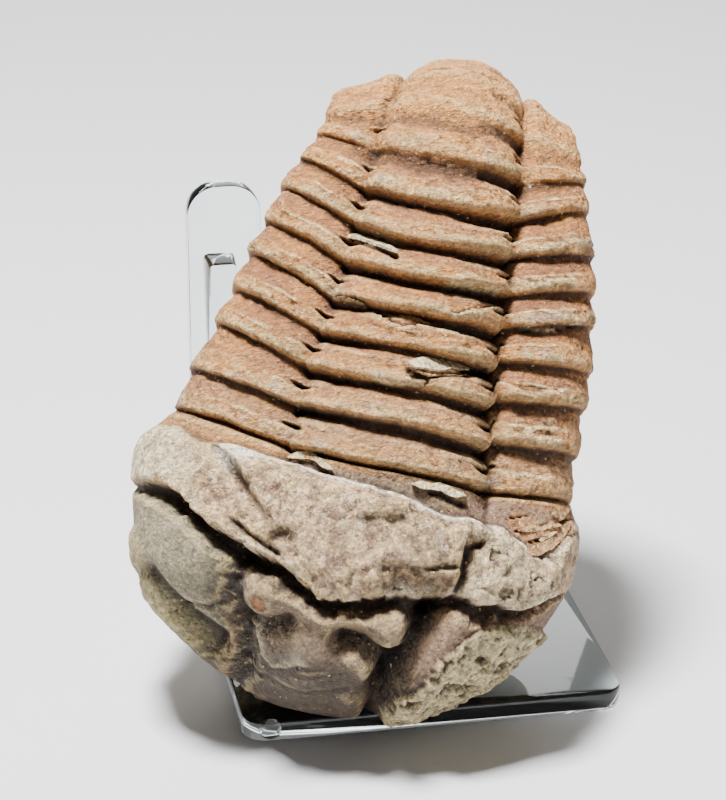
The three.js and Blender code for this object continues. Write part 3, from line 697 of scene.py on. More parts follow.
        # rough cream matrix on the right cheek
        edge = follow(CREAM_EDGE, w) + 1.3 * rubble(spot, 3.2, 4, 71)
        cream = smooth(-0.2, 0.3, u - edge) * smooth(-52, -46, w) * (1 - smooth(-30.4, -29.2, w))
        lumps = 0.9 * facets(spot, 3.6, 73, 24.0) + 0.7 * facets(spot, 1.7, 75, 24.0)
        lumps += 0.3 * rubble(spot, 3.0, 4, 77)
        skin.height += front * cream * (0.9 + lumps)
        crumbs = smooth(0.14, 0.3, rubble(spot, 2.2, 4, 85)) * front * cream
        skin.height -= 0.7 * crumbs
        # painted shade: the pits among the cream crumbs are darkened in colour
        skin.zones["cream_pit"] = crumbs
        skin.height += front * on_head * (0.12 * rubble(spot, 2.2, 4, 79) + 0.06 * facets(spot, 1.4, 81))
        left_cheek = 1 - smooth(-18.4, -16.4, u + 0.3 * rough)
        below = smooth(17, 20, -w)
        skin.zones["left_cheek"] = left_cheek * on_head * front * below
        skin.zones["suture"] = np.clip(broken * 1.1, 0, 1)
        mid = smooth(-17.0, -15.5, u) * (1 - smooth(-1.0, 1.0, u - follow(MIDDLE_EDGE, w)))
        skin.zones["middle"] = mid * on_head * front
        skin.zones["right_cheek"] = (1 - mid) * smooth(2.0, 4.0, u) * on_head * front
        skin.zones["cream"] = np.clip(cream, 0, 1) * front * on_head
        # painted shade: the front of the head, which faces down, is painted dark, partly as its own darker
        # brown
        skin.zones["underside"] = smooth(36.6, 41.0, -w) * (1 - cream) * on_head * front
        skin.zones["rim"] = bell(lines["left cheek rim"], 1.5) * front
        # painted shade: the head's grooves and hollows, the strip between the left cheek and the broken
        # suture and the right eye slit are darkened in colour
        deep = 1.2 * bell(lines["right head groove"], 1.6) + 0.6 * bell(lines["right hollow"], 1.2)
        deep = deep + 0.4 * bell(lines["left hollow"], 1.0) + 0.9 * bell(lines["left cheek groove"], 0.9)
        inner = between((-23.0, -18.8), (-17.6, -16.6), u) * between((25, 28), (35, 38), -w)
        deep = deep + 0.55 * inner
        skin.zones["deep"] = np.clip(deep + 0.7 * bell(lines["right eye slit"], 0.45), 0, 1) * front
        scar = np.hypot((u + 13.2) / 0.85, (w + 32.6) / 1.1)
        skin.zones["scar"] = (1 - smooth(0.95, 1.25, scar + 0.2 * rough)) * front
        skin.zones["scar_rim"] = bell(scar - 1.35, 0.3) * front
        skin.height -= 0.55 * skin.zones["scar"]

    def band(self, skin: Skin) -> None:
        """The broken slab of rock over the neck, with flat fracture faces and an overhanging lower edge."""
        u, w, front, spot = skin.u, skin.w, skin.front, skin.spot
        ragged = rubble(spot, 2.6, 4, 91)
        top = follow(BAND_TOP, u) + 0.35 * ragged
        low = follow(BAND_LOW, u) + 0.6 * ragged + 1.1 * facets(spot, 2.6, 93, 30.0)
        on_head = 1 - smooth(11.6, 12.2, skin.row)
        side_fade = 1 - 0.8 * smooth(0.8, 1.0, skin.across)
        mask = (1 - smooth(-0.25, 0.25, w - top)) * smooth(-0.2, 0.3, w - low) * on_head * front
        down = w - low
        up = top - w
        crease = follow(BAND_CREASE, w)
        main = 3.3 + 0.03 * (w + 22) - 0.012 * np.abs(u + 3)
        leftward = np.maximum(3.1 + 0.42 * (u - crease), 1.5 + 0.05 * (w + 18))
        leftward = leftward - 1.7 * bell(u - crease + 1.1, 1.2) * smooth(-23.5, -18, w)
        lower = 1.4 + 0.55 * down
        upper = 0.55 + 1.15 * up
        right = np.where(u > 12.0, 2.9 - 0.02 * (u - 19) ** 2, 9.0)
        slab = np.minimum.reduce([main, leftward, lower, upper, right])
        ledge = smooth(2.0, 3.4, u - ragged) * (1 - smooth(11.0, 12.0, u))
        ledge *= 1 - smooth(-26.2, -25.2, w + 0.9 * ragged)
        slab = slab - 1.2 * ledge
        crack = path_distance(u, w, SLAB_CRACK)
        slab = slab - 1.5 * bell(crack + 0.25 * ragged, 0.55)
        slanted = np.stack([u * 0.8 - w * 0.6, (u * 0.6 + w * 0.8) * 0.55, skin.n], -1)
        slab = slab + 1.2 * facets(spot, 9.0, 97, 34.0) + 0.6 * facets(slanted, 4.2, 99, 34.0)
        slab = slab + 0.2 * facets(slanted, 1.3, 111, 30.0) + 0.12 * rubble(spot, 1.6, 3, 101)
        rough_right = smooth(11.5, 13.5, u)
        chunks = 0.4 * facets(spot, 2.0, 115, 30.0) - 0.6 * smooth(0.2, 0.36, rubble(spot, 2.0, 4, 117))
        slab = slab + rough_right * chunks
        dent = path_distance(u, w, SLAB_DENT)
        slab = slab - 0.9 * bell(dent, 0.8)
        split = path_distance(u, w, SLAB_SPLIT)
        slab = slab - 1.1 * bell(split + 0.2 * ragged, 0.35)
        layer_top = path_distance(u, w, SLAB_LAYER)
        slab = slab - 0.9 * bell(layer_top + 0.2 * ragged, 0.4)
        covered = skin.height * mask
        skin.height = skin.height - 0.75 * covered + mask * slab * side_fade
        groove = follow(NECK_GROOVE, u)
        width = follow(NECK_GROOVE_WIDTH, u)
        shade = smooth(0, 1, (down + width) / (0.55 * width)) * (1 - smooth(-0.45, 0.1, down))
        skin.height -= on_head * front * groove * shade
        # painted shadow: the neck groove below the slab's overhanging lower edge is darkened in colour
        skin.zones["neck"] = np.clip(shade, 0, 1) * on_head * front * np.clip(groove / 2.5, 0, 1)
        skin.zones["band"] = mask
        corner = 2.4 * bell(u + 20.5, 3.0)
        rim = np.clip(1.5 - up / (0.75 + corner), 0, 1) * smooth(-23.5, -22, u)
        rim *= 1 - 0.5 * smooth(12, 14, u)
        creamy = 0.6 * smooth(12.2, 13.4, u) * smooth(-0.1, 0.3, rubble(spot, 5.0, 3, 105) + 0.1)
        lip = 0.55 * bell(down, 1.0) * smooth(-0.2, 0.3, ragged + 0.1)
        skin.zones["band_edge"] = np.clip(rim + lip, 0, 1) * mask
        greenish = 1 - smooth(-30, -23, u + 3 * ragged)
        skin.zones["band_cream"] = np.clip(creamy + greenish, 0, 1) * mask
        # painted shadow: the strip left of the crease, where the slab steps down, is painted dark brown as
        # shadow, partly its own brown; the lowered ledge and the crack are coloured brown as well
        fold = np.clip((w + 23.0) / 9.0, 0.05, 1.0)
        brown = 1.5 * bell((u - crease + 1.1 * fold) / (1.2 * fold) + 0.3 * ragged, 1.0) + bell(dent, 1.2)
        skin.zones["ledge"] = np.clip(ledge * 0.75 + bell(crack, 0.7) + 0.7 * brown, 0, 1) * mask
        # painted shade: the split, the layer edge and the crack in the slab are darkened in colour
        cracked = [bell(away + 0.2 * ragged, 0.4) for away in (split, layer_top, crack)]
        skin.zones["band_crack"] = np.maximum.reduce(cracked) * mask
        recess = (1 - smooth(0.8, 2.4, path_distance(u, w, RECESS))) * front
        sheets = (w - 0.42 * (u - 20.0) + 0.25 * rubble(spot, 4.0, 2, 103)) / 2.1
        plates = sheets - np.floor(sheets)
        level = np.zeros(u.shape, np.int64)
        layer = lattice(np.floor(sheets).astype(np.int64), level, level, 7)
        skin.height += recess * (0.6 * layer - 0.7 - 0.9 * (1 - smooth(0.03, 0.16, plates)))
        skin.zones["plates"] = recess
        # painted shade: the cracks between the recessed plates are darkened in colour
        skin.zones["plate_crack"] = recess * (1 - smooth(0.04, 0.17, plates))
        skin.zones["sliver"] = bell(path_distance(u, w, SLIVER), 0.7) * front

    def gaps_and_peels(self, skin: Skin) -> None:
        """Dark gaps in the shell, and shell layers that end along broken edges."""
        spot, front = skin.spot, skin.front
        ragged = rubble(spot, 1.5, 3, 107)
        gaps = np.zeros(skin.u.shape)
        edges = np.zeros(skin.u.shape)
        for gap in GAPS:
            away = path_distance(skin.u, skin.w, gap.path)
            slit = bell(away + 0.15 * ragged, gap.width) * front
            skin.height -= gap.depth * slit
            gaps = np.maximum(gaps, slit)
        w = skin.w + 0.28 * ragged
        for peel in PEELS:
            away = path_distance(skin.u, w, peel.path)
            on_layer = smooth(-0.12, 0.12, peel.side * (w - follow(peel.path, skin.u)))
            layer = np.clip(1 - away / peel.reach, 0, 1) * on_layer * front
            slit = bell(away, 0.4) * (1 - on_layer) * front
            skin.height += peel.height * layer - peel.gap * slit
            gaps = np.maximum(gaps, min(1.0, 1.1 * peel.gap) * slit)
            edges = np.maximum(edges, bell(away, 0.34) * on_layer * front)
        # painted shadow: the gaps under and beside the loose flakes and below the peeled edges are darkened
        # in colour
        skin.zones["slit"] = gaps
        skin.zones["edge"] = np.maximum(skin.zones["edge"], edges)

    def back(self, skin: Skin) -> None:
        """Rough rock on the side that faces the posts."""
        spot = skin.spot
        behind = 1 - skin.front
        rough = rubble(spot, 16.0, 3, 113) + 1.2 * facets(spot, 7.0, 127) + 0.35 * rubble(spot, 3.5, 4, 131)
        skin.height += behind * rough
        skin.zones["rock"] = behind
        skin.zones["stony"] = np.clip(skin.zones["band"] + skin.zones["cream"] + behind, 0, 1)


@dataclass(frozen=True)
class FossilPlace:
    """Where the fossil stands: its own frame's place and turns."""

    origin: Triple = (-2.7, -14.55, 45.0)
    yaw: float = -9.0
    lean: float = -29.0
    tilt: float = 10.9
    rest_height: float = 3.2
    rest_softness: float = 0.6

    def world(self, points: Array) -> Array:
        """Points of the fossil's frame as stand coordinates, mm, flattened where they rest."""
        turns = []
        for angle, (i, j) in ((self.yaw, (0, 1)), (self.lean, (1, 2)), (self.tilt, (2, 0))):
            turn = np.eye(3)
            turn[i, i] = turn[j, j] = math.cos(math.radians(angle))
            turn[j, i] = math.sin(math.radians(angle))
            turn[i, j] = -turn[j, i]
            turns.append(turn)
        turn = turns[0] @ turns[1] @ turns[2]
        placed = points @ turn.T + np.array(self.origin)
        above = placed[:, 2] - self.rest_height
        placed[:, 2] = self.rest_height + (above + np.hypot(above, self.rest_softness)) / 2
        return placed


def linear(code: str) -> tuple[float, float, float, float]:
    """Linear colour from a six-digit sRGB code."""
    parts = [int(code[i : i + 2], 16) / 255 for i in (0, 2, 4)]
    return tuple(p / 12.92 if p <= 0.04045 else ((p + 0.055) / 1.055) ** 2.4 for p in parts) + (1.0,)


class Nodes:
    """A material's node tree with short ways to add and join nodes."""

    def __init__(self, tree: bpy.types.NodeTree) -> None:
        """Keep the tree."""
        self.tree = tree

    def add(self, kind: str, **values: object) -> bpy.types.Node:
        """New node of a kind, with its properties set."""
        node = self.tree.nodes.new(kind)
        for name, value in values.items():
            setattr(node, name, value)
        return node

    def join(self, source: Socket, target: Socket) -> None:
        """Link one socket to another."""
        self.tree.links.new(source, target)

    def noise(self, vector: Socket, scale: float, detail: float, rough: float = 0.6) -> Socket:
        """Noise value at a scale in cells per metre."""
        node = self.add("ShaderNodeTexNoise")
        node.inputs["Scale"].default_value = scale
        node.inputs["Detail"].default_value = detail
        node.inputs["Roughness"].default_value = rough
        self.join(vector, node.inputs["Vector"])
        return node.outputs["Fac"]

    def span(self, value: Socket, low: float, high: float, start: float = 0.0, end: float = 1.0) -> Socket:
        """Value mapped from low..high to start..end, clamped and smooth."""
        node = self.add("ShaderNodeMapRange", interpolation_type="SMOOTHSTEP")
        for name, number in (("From Min", low), ("From Max", high), ("To Min", start), ("To Max", end)):
            node.inputs[name].default_value = number
        self.join(value, node.inputs["Value"])
        return node.outputs["Result"]

    def stretched(self, vector: Socket, turn: Triple, scale: Triple) -> Socket:
        """Coordinates scaled and turned, for streaky patterns."""
        node = self.add("ShaderNodeMapping")
        node.inputs["Rotation"].default_value = turn
        node.inputs["Scale"].default_value = scale
        self.join(vector, node.inputs["Vector"])
        return node.outputs[0]

    def sum(self, a: Socket, b: object, how: str = "ADD") -> Socket:
        """Maths on two values."""
        node = self.add("ShaderNodeMath", operation=how)
        self.join(a, node.inputs[0])
        if isinstance(b, float):
            node.inputs[1].default_value = b
        else:
            self.join(b, node.inputs[1])
        return node.outputs[0]

    def times(self, a: Socket, b: object) -> Socket:
        """Product of two values."""
        return self.sum(a, b, "MULTIPLY")

    def scaled(self, colour: Socket, factor: Socket) -> Socket:
        """A colour made lighter or darker by a factor."""
        node = self.add("ShaderNodeVectorMath", operation="SCALE")
        self.join(colour, node.inputs[0])
        self.join(factor, node.inputs["Scale"])
        return node.outputs[0]

    def blend(self, mask: object, below: object, above: object, how: str = "MIX") -> Socket:
        """Mix two colours by a mask."""
        node = self.add("ShaderNodeMix", data_type="RGBA", blend_type=how)
        for value, socket in ((mask, node.inputs[0]), (below, node.inputs[6]), (above, node.inputs[7])):
            if isinstance(value, Socket):
                self.join(value, socket)
            else:
                socket.default_value = value
        return node.outputs[2]

    def mask(self, name: str) -> Socket:
        """A named attribute of the piece as a value."""
        node = self.add("ShaderNodeAttribute", attribute_name=name)
        return node.outputs["Fac"]


def new_group(name: str, values: tuple[str, ...], results: tuple[str, ...]) -> tuple[Nodes, ...]:
    """Start a shared node group.

    Args:
        name: The group's name.
        values: Names of its value inputs; a vector input follows them.
        results: Names of its value outputs.

    Returns:
        Its nodes, its inlet and its outlet.
    """
    tree = bpy.data.node_groups.new(name, "ShaderNodeTree")
    for socket in values:
        tree.interface.new_socket(name=socket, in_out="INPUT", socket_type="NodeSocketFloat")
    tree.interface.new_socket(name="Vector", in_out="INPUT", socket_type="NodeSocketVector")
    for socket in results:
        tree.interface.new_socket(name=socket, in_out="OUTPUT", socket_type="NodeSocketFloat")
    nodes = Nodes(tree)
    return nodes, nodes.add("NodeGroupInput"), nodes.add("NodeGroupOutput")


def new_material(name: str) -> tuple[bpy.types.Material, Nodes, bpy.types.Node]:
    """A new material, its nodes and its main shader."""
    material = bpy.data.materials.new(name)
    material.use_nodes = True
    return material, Nodes(material.node_tree), material.node_tree.nodes["Principled BSDF"]


def mineral_grain() -> bpy.types.NodeTree:
    """Shared group: fine rock grain as a height, a speckle mask and a slow mottle."""
    name = "mineral grain"
    if name in bpy.data.node_groups:
        return bpy.data.node_groups[name]
    results = ("Height", "Fine", "Speckle", "Mottle")
    nodes, inlet, outlet = new_group(name, ("Grain Size", "Speckle Share"), results)
    scaled = nodes.add("ShaderNodeVectorMath", operation="SCALE")
    nodes.join(inlet.outputs["Vector"], scaled.inputs[0])
    nodes.join(inlet.outputs["Grain Size"], scaled.inputs["Scale"])
    vector = scaled.outputs[0]
    fine = nodes.noise(vector, 2100.0, 3.0, 0.65)
    nodes.join(fine, outlet.inputs["Fine"])
    coarse = nodes.noise(vector, 620.0, 5.0, 0.62)
    height = nodes.sum(nodes.sum(fine, 0.45, "MULTIPLY"), nodes.sum(coarse, 0.55, "MULTIPLY"))
    nodes.join(height, outlet.inputs["Height"])
    dots = nodes.noise(vector, 1500.0, 2.0, 0.5)
    shifted = nodes.sum(dots, inlet.outputs["Speckle Share"])
    nodes.join(nodes.span(shifted, 0.72, 0.82), outlet.inputs["Speckle"])
    nodes.join(nodes.noise(vector, 130.0, 4.0, 0.6), outlet.inputs["Mottle"])
    return nodes.tree


def crystal_facets() -> bpy.types.NodeTree:
    """Shared group: packed crystals, each with its own tilt, height and shade."""
    name = "crystal facets"
    if name in bpy.data.node_groups:
        return bpy.data.node_groups[name]
    nodes, inlet, outlet = new_group(name, ("Cells",), ("Height", "Shade"))
    cells = nodes.add("ShaderNodeTexVoronoi")
    nodes.join(inlet.outputs["Vector"], cells.inputs["Vector"])
    nodes.join(inlet.outputs["Cells"], cells.inputs["Scale"])
    away = nodes.add("ShaderNodeVectorMath", operation="SUBTRACT")
    nodes.join(inlet.outputs["Vector"], away.inputs[0])
    nodes.join(cells.outputs["Position"], away.inputs[1])
    tilt = nodes.add("ShaderNodeVectorMath", operation="SUBTRACT")
    nodes.join(cells.outputs["Color"], tilt.inputs[0])
    tilt.inputs[1].default_value = (0.5, 0.5, 0.5)
    slope = nodes.add("ShaderNodeVectorMath", operation="DOT_PRODUCT")
    nodes.join(away.outputs[0], slope.inputs[0])
    nodes.join(tilt.outputs[0], slope.inputs[1])
    shade = nodes.add("ShaderNodeSeparateColor")
    nodes.join(cells.outputs["Color"], shade.inputs[0])
    rise = nodes.times(slope.outputs["Value"], inlet.outputs["Cells"])
    nodes.join(nodes.sum(rise, nodes.times(shade.outputs[0], 0.25)), outlet.inputs["Height"])
    nodes.join(shade.outputs[1], outlet.inputs["Shade"])
    return nodes.tree


@dataclass(frozen=True)
class RockFinish:
    """Colours of the fossil by zone, and its grain."""

    shell: str = "BF803C"
    shell_warm: str = "A96F3C"
    ramp: str = "97633F"
    crest: str = "BC9860"
    sheen: str = "A39688"
    edge: str = "E3C894"
    # dark brown, painted as shade in furrows, ring-end hollows, crumb pits and hollows
    furrow: str = "2B1B11"
    band: str = "E0BF8E"
    band_warm: str = "A9866A"
    # near white: the slab's pale rims, and also painted glints on its brightest crystals
    band_edge: str = "FFF4DC"
    band_cream: str = "DCCDA6"
    ledge: str = "664B33"
    plates: str = "B07E52"
    left_cheek: str = "8B8167"
    rim: str = "A99B6D"
    middle: str = "7C664E"
    right_cheek: str = "8B6E58"
    cream: str = "C2B288"
    suture: str = "5A5040"
    chip: str = "C9BFA4"
    # near black, painted as shade in grooves, pits, gaps and cracks, and under the slab
    deep: str = "1C120C"
    scar: str = "9C6428"
    sliver: str = "8E5B36"
    crust: str = "D8C9A6"
    rock: str = "8A7963"
    # dark brown, painted as shade on the downward-facing front of the head
    underside: str = "33281C"
    # bright warm orange, painted as a highlight on the top of the tail
    tail_warm: str = "DB9A52"
    dusty: str = "A88C68"
    speckle: str = "E9CB92"
    dark_speckle: str = "3A2A1E"
    bump_depth: float = 0.0006

    def material(self) -> bpy.types.Material:
        """The fossil's material.

        Returns:
            Procedural rock that reads the zones stored on the piece.
        """
        material, nodes, shader = new_material("fossil rock")
        place = nodes.add("ShaderNodeTexCoord").outputs["Object"]
        grain = nodes.add("ShaderNodeGroup", node_tree=mineral_grain())
        grain.inputs["Grain Size"].default_value = 1.0
        grain.inputs["Speckle Share"].default_value = 0.06
        nodes.join(place, grain.inputs["Vector"])
        sand = self.crystals(nodes, place, 2100.0)
        slant = nodes.stretched(place, (0.0, 0.7, 0.0), (1.0, 1.0, 0.5))
        crystal = self.crystals(nodes, slant, 1150.0)
        colour = self.shell_colour(nodes, place, grain.outputs["Mottle"])
        slab = self.slab_colour(nodes, place, crystal.outputs["Shade"])
        colour = nodes.blend(nodes.mask("band"), colour, slab)
        colour = self.marked_and_shaded_colour(nodes, place, colour, grain.outputs["Speckle"])
        tone = nodes.times(
            nodes.span(grain.outputs["Height"], 0.36, 0.64, 0.8, 1.2),
            nodes.span(sand.outputs["Shade"], 0.0, 1.0, 0.72, 1.28),
        )
        glint = nodes.times(nodes.span(crystal.outputs["Shade"], 0.0, 1.0, -0.2, 0.3), nodes.mask("stony"))
        colour = nodes.scaled(colour, nodes.sum(tone, glint))
        nodes.join(colour, shader.inputs["Base Color"])
        rough = nodes.span(grain.outputs["Height"], 0.3, 0.7, 0.68, 0.95)
        smoother = nodes.sum(nodes.mask("middle"), nodes.mask("tail_warm"))
        nodes.join(nodes.sum(rough, nodes.times(smoother, 0.24), "SUBTRACT"), shader.inputs["Roughness"])
        shader.inputs["Specular IOR Level"].default_value = 0.5
        bump = nodes.add("ShaderNodeBump")
        bump.inputs["Strength"].default_value = 1.0
        bump.inputs["Distance"].default_value = self.bump_depth
        nodes.join(self.relief(nodes, place, grain, sand, crystal), bump.inputs["Height"])
        nodes.join(bump.outputs["Normal"], shader.inputs["Normal"])
        return material

    def shell_colour(self, nodes: Nodes, place: Socket, slow: Socket) -> Socket:
        """Colour of the shell, the head and the rock behind them.

        Args:
            nodes: The material's nodes.
            place: Coordinates of the piece.
            slow: Slow mottle of the rock.

        Returns:
            The colour that the slab is laid over.
        """
        colour = nodes.blend(nodes.span(slow, 0.35, 0.65), linear(self.shell), linear(self.shell_warm))
        rusty = nodes.span(nodes.noise(place, 170.0, 4.0, 0.65), 0.36, 0.6, 0.25, 0.85)
        grey = nodes.span(nodes.noise(place, 120.0, 3.0), 0.56, 0.64, 0.0, 0.75)
        for mask, code in (
            (nodes.times(nodes.mask("ramp"), rusty), self.ramp),
            (nodes.times(nodes.mask("crest"), nodes.span(slow, 0.47, 0.57)), self.crest),
            (nodes.times(nodes.mask("crest"), grey), self.sheen),
            # painted highlight on the top of the tail
            (nodes.times(nodes.mask("tail_warm"), 0.55), self.tail_warm),
            (nodes.times(nodes.mask("dusty"), 0.35), self.dusty),
        ):
            colour = nodes.blend(mask, colour, linear(code))
        patch = nodes.span(nodes.noise(place, 60.0, 3.0), 0.4, 0.62)
        behind = nodes.blend(patch, linear(self.rock), linear(self.band))
        colour = nodes.blend(nodes.mask("rock"), colour, behind)
        for name in ("middle", "right_cheek", "left_cheek", "rim", "cream", "suture", "chip", "scar"):
            colour = nodes.blend(nodes.mask(name), colour, linear(getattr(self, name)))
        # painted shade on the downward-facing front of the head
        return nodes.blend(nodes.times(nodes.mask("underside"), 0.8), colour, linear(self.underside))

    def slab_colour(self, nodes: Nodes, place: Socket, shade: Socket) -> Socket:
        """Colour of the broken slab.

        Args:
            nodes: The material's nodes.
            place: Coordinates of the piece.
            shade: Shade of each crystal.

        Returns:
            Pale rock with warm blotches, brown stains, painted glints on the brightest crystals and cream
            parts.
        """
        blotch = nodes.span(nodes.noise(place, 430.0, 5.0, 0.7), 0.4, 0.6)
        slab = nodes.blend(blotch, linear(self.band), linear(self.band_warm))
        stain = nodes.span(nodes.noise(place, 230.0, 5.0, 0.7), 0.5, 0.62, 0.0, 0.5)
        slab = nodes.blend(stain, slab, linear(self.ledge))
        # painted glints: the brightest crystals are painted near white
        slab = nodes.blend(nodes.span(shade, 0.8, 0.96, 0.0, 0.22), slab, linear(self.band_edge))
        return nodes.blend(nodes.times(nodes.mask("band_cream"), 0.8), slab, linear(self.band_cream))

    def marked_and_shaded_colour(self, nodes: Nodes, place: Socket, colour: Socket, speckle: Socket) -> Socket:
        """A colour with its edges, painted shade in gaps and hollows, paler raised spots and speckles.

        Args:
            nodes: The material's nodes.
            place: Coordinates of the piece.
            colour: The colour below.
            speckle: Where the pale speckles lie.

        Returns:
            The colour with its marks and painted shade.
        """
        for name in ("ledge", "band_edge", "plates", "crust", "sliver", "edge"):
            colour = nodes.blend(nodes.mask(name), colour, linear(getattr(self, name)))
        # painted shade: furrows, grooves, the shadow under the slab, pits, gaps, cracks and crumb pits are
        # darkened in colour; the eye scar gets a dark ring
        for name, code, share in (
            ("furrow", self.furrow, 0.62), ("deep", self.deep, 0.95), ("neck", self.deep, 0.75),
            ("pit", self.deep, 0.97), ("scar_rim", self.deep, 0.7), ("plate_crack", self.deep, 0.8),
            ("slit", self.deep, 0.9), ("band_crack", self.deep, 0.75), ("cream_pit", self.furrow, 0.8),
        ):
            colour = nodes.blend(nodes.times(nodes.mask(name), share), colour, linear(code))
        # painted shade: fine and wide hollows are darkened in colour; raised spots are painted paler
        for name, low, high, share in (("hollow_fine", 0.53, 0.9, 0.55), ("hollow_wide", 0.54, 0.85, 0.55)):
            dust_and_shade = nodes.span(nodes.mask(name), low, high, 0.0, share)
            colour = nodes.blend(dust_and_shade, colour, linear(self.furrow))
        raised_pale = nodes.span(nodes.mask("hollow_fine"), 0.42, 0.05, 0.0, 0.3)
        colour = nodes.blend(raised_pale, colour, linear(self.speckle))
        colour = nodes.blend(nodes.times(speckle, 0.8), colour, linear(self.speckle))
        dark = nodes.span(nodes.noise(place, 1900.0, 2.0), 0.58, 0.7, 0.0, 0.5)
        return nodes.blend(dark, colour, linear(self.dark_speckle))

    def relief(
        self,
        nodes: Nodes,
        place: Socket,
        grain: bpy.types.Node,
        sand: bpy.types.Node,
        crystal: bpy.types.Node,
    ) -> Socket:
        """Height of the finest relief.

        Args:
            nodes: The material's nodes.
            place: Coordinates of the piece.
            grain: The rock's grain.
            sand: Its smallest crystals.
            crystal: The larger crystals of broken stone.

        Returns:
            Grain, flakes and crystals, with strokes on broken stone and lines on the shell.
        """
        flakes = nodes.span(nodes.noise(place, 480.0, 6.0, 0.75), 0.36, 0.64)
        height = nodes.times(grain.outputs["Height"], 1.2)
        for part, share in (
            (grain.outputs["Fine"], 0.45),
            (flakes, 0.4),
            (sand.outputs["Height"], 1.1),
            (nodes.times(crystal.outputs["Height"], nodes.mask("stony")), 2.6),
        ):
            height = nodes.sum(height, nodes.times(part, share))
        strokes = nodes.stretched(place, (0.0, 0.7, 0.0), (1.0, 1.0, 0.42))
        split = nodes.span(nodes.noise(strokes, 1150.0, 4.0, 0.7), 0.36, 0.64)
        lines = nodes.stretched(place, (0.0, -0.16, 0.0), (0.28, 1.0, 1.0))
        striae = nodes.span(nodes.noise(lines, 1500.0, 4.0, 0.65), 0.36, 0.64)
        split = nodes.times(nodes.times(split, nodes.mask("stony")), 0.5)
        striae = nodes.times(nodes.times(striae, nodes.mask("shell")), 0.4)
        return nodes.sum(height, nodes.sum(split, striae))

    def crystals(self, nodes: Nodes, vector: Socket, cells: float) -> bpy.types.Node:
        """The shared crystal group at a number of cells per metre."""
        group = nodes.add("ShaderNodeGroup", node_tree=crystal_facets())
        group.inputs["Cells"].default_value = cells
        nodes.join(vector, group.inputs["Vector"])
        return group


@dataclass(frozen=True)
class ClearSheetFinish:
    """Clear polished plastic sheet with fine handling marks."""

    tint: str = "F2F7F8"
    ior: float = 1.49
    roughness: float = 0.03
    worn_roughness: float = 0.16

    def material(self) -> bpy.types.Material:
        """Transmitting plastic whose gloss is broken by faint scratches and a light dusting."""
        material, nodes, shader = new_material("clear sheet")
        shader.inputs["Base Color"].default_value = linear(self.tint)
        shader.inputs["Transmission Weight"].default_value = 1.0
        shader.inputs["IOR"].default_value = self.ior
        place = nodes.add("ShaderNodeTexCoord").outputs["Object"]
        streaks = nodes.stretched(place, (0.3, 0.5, 0.2), (60.0, 60.0, 900.0))
        scratches = nodes.span(nodes.noise(streaks, 3.0, 3.0), 0.66, 0.74)
        dust_and_shade = nodes.span(nodes.noise(place, 900.0, 2.0), 0.7, 0.78)
        marks = nodes.sum(scratches, dust_and_shade, "MAXIMUM")
        gloss = nodes.span(marks, 0.0, 1.0, self.roughness, self.worn_roughness)
        nodes.join(gloss, shader.inputs["Roughness"])
        # lamps shine through the sheet instead of leaving a black shadow
        through = nodes.add("ShaderNodeBsdfTransparent")
        through.inputs["Color"].default_value = (0.9, 0.92, 0.92, 1.0)
        chosen = nodes.add("ShaderNodeMixShader")
        nodes.join(nodes.add("ShaderNodeLightPath").outputs["Is Shadow Ray"], chosen.inputs[0])
        nodes.join(shader.outputs[0], chosen.inputs[1])
        nodes.join(through.outputs[0], chosen.inputs[2])
        nodes.join(chosen.outputs[0], material.node_tree.nodes["Material Output"].inputs["Surface"])
        return material


def activate(piece: bpy.types.Object) -> None:
    """Select only this piece and make it active."""
    if bpy.context.mode != "OBJECT":
        bpy.ops.object.mode_set(mode="OBJECT")
    bpy.ops.object.select_all(action="DESELECT")
    piece.select_set(True)
    bpy.context.view_layer.objects.active = piece


def vertex_places(mesh: bpy.types.Mesh) -> Array:
    """Places of a mesh's vertices, one a row."""
    places = np.zeros(len(mesh.vertices) * 3)
    mesh.vertices.foreach_get("co", places)
    return places.reshape(-1, 3)


def store_zone(mesh: bpy.types.Mesh, name: str, values: Array) -> None:
    """Store a colour zone as one value for each vertex."""
    layer = mesh.attributes.new(name, "FLOAT", "POINT")
    layer.data.foreach_set("value", np.ascontiguousarray(values, dtype=np.float32))


def close_up(piece: bpy.types.Object, push: Sequence[float] | None = None) -> None:
    """Turn a piece's faces outward, after an extrusion of all of them if a push is given."""
    activate(piece)
    bpy.ops.object.mode_set(mode="EDIT")
    bpy.ops.mesh.select_all(action="SELECT")
    if push is not None:
        bpy.ops.mesh.extrude_region_move(TRANSFORM_OT_translate={"value": push})
        bpy.ops.mesh.select_all(action="SELECT")
    bpy.ops.mesh.normals_make_consistent(inside=False)
    bpy.ops.object.mode_set(mode="OBJECT")


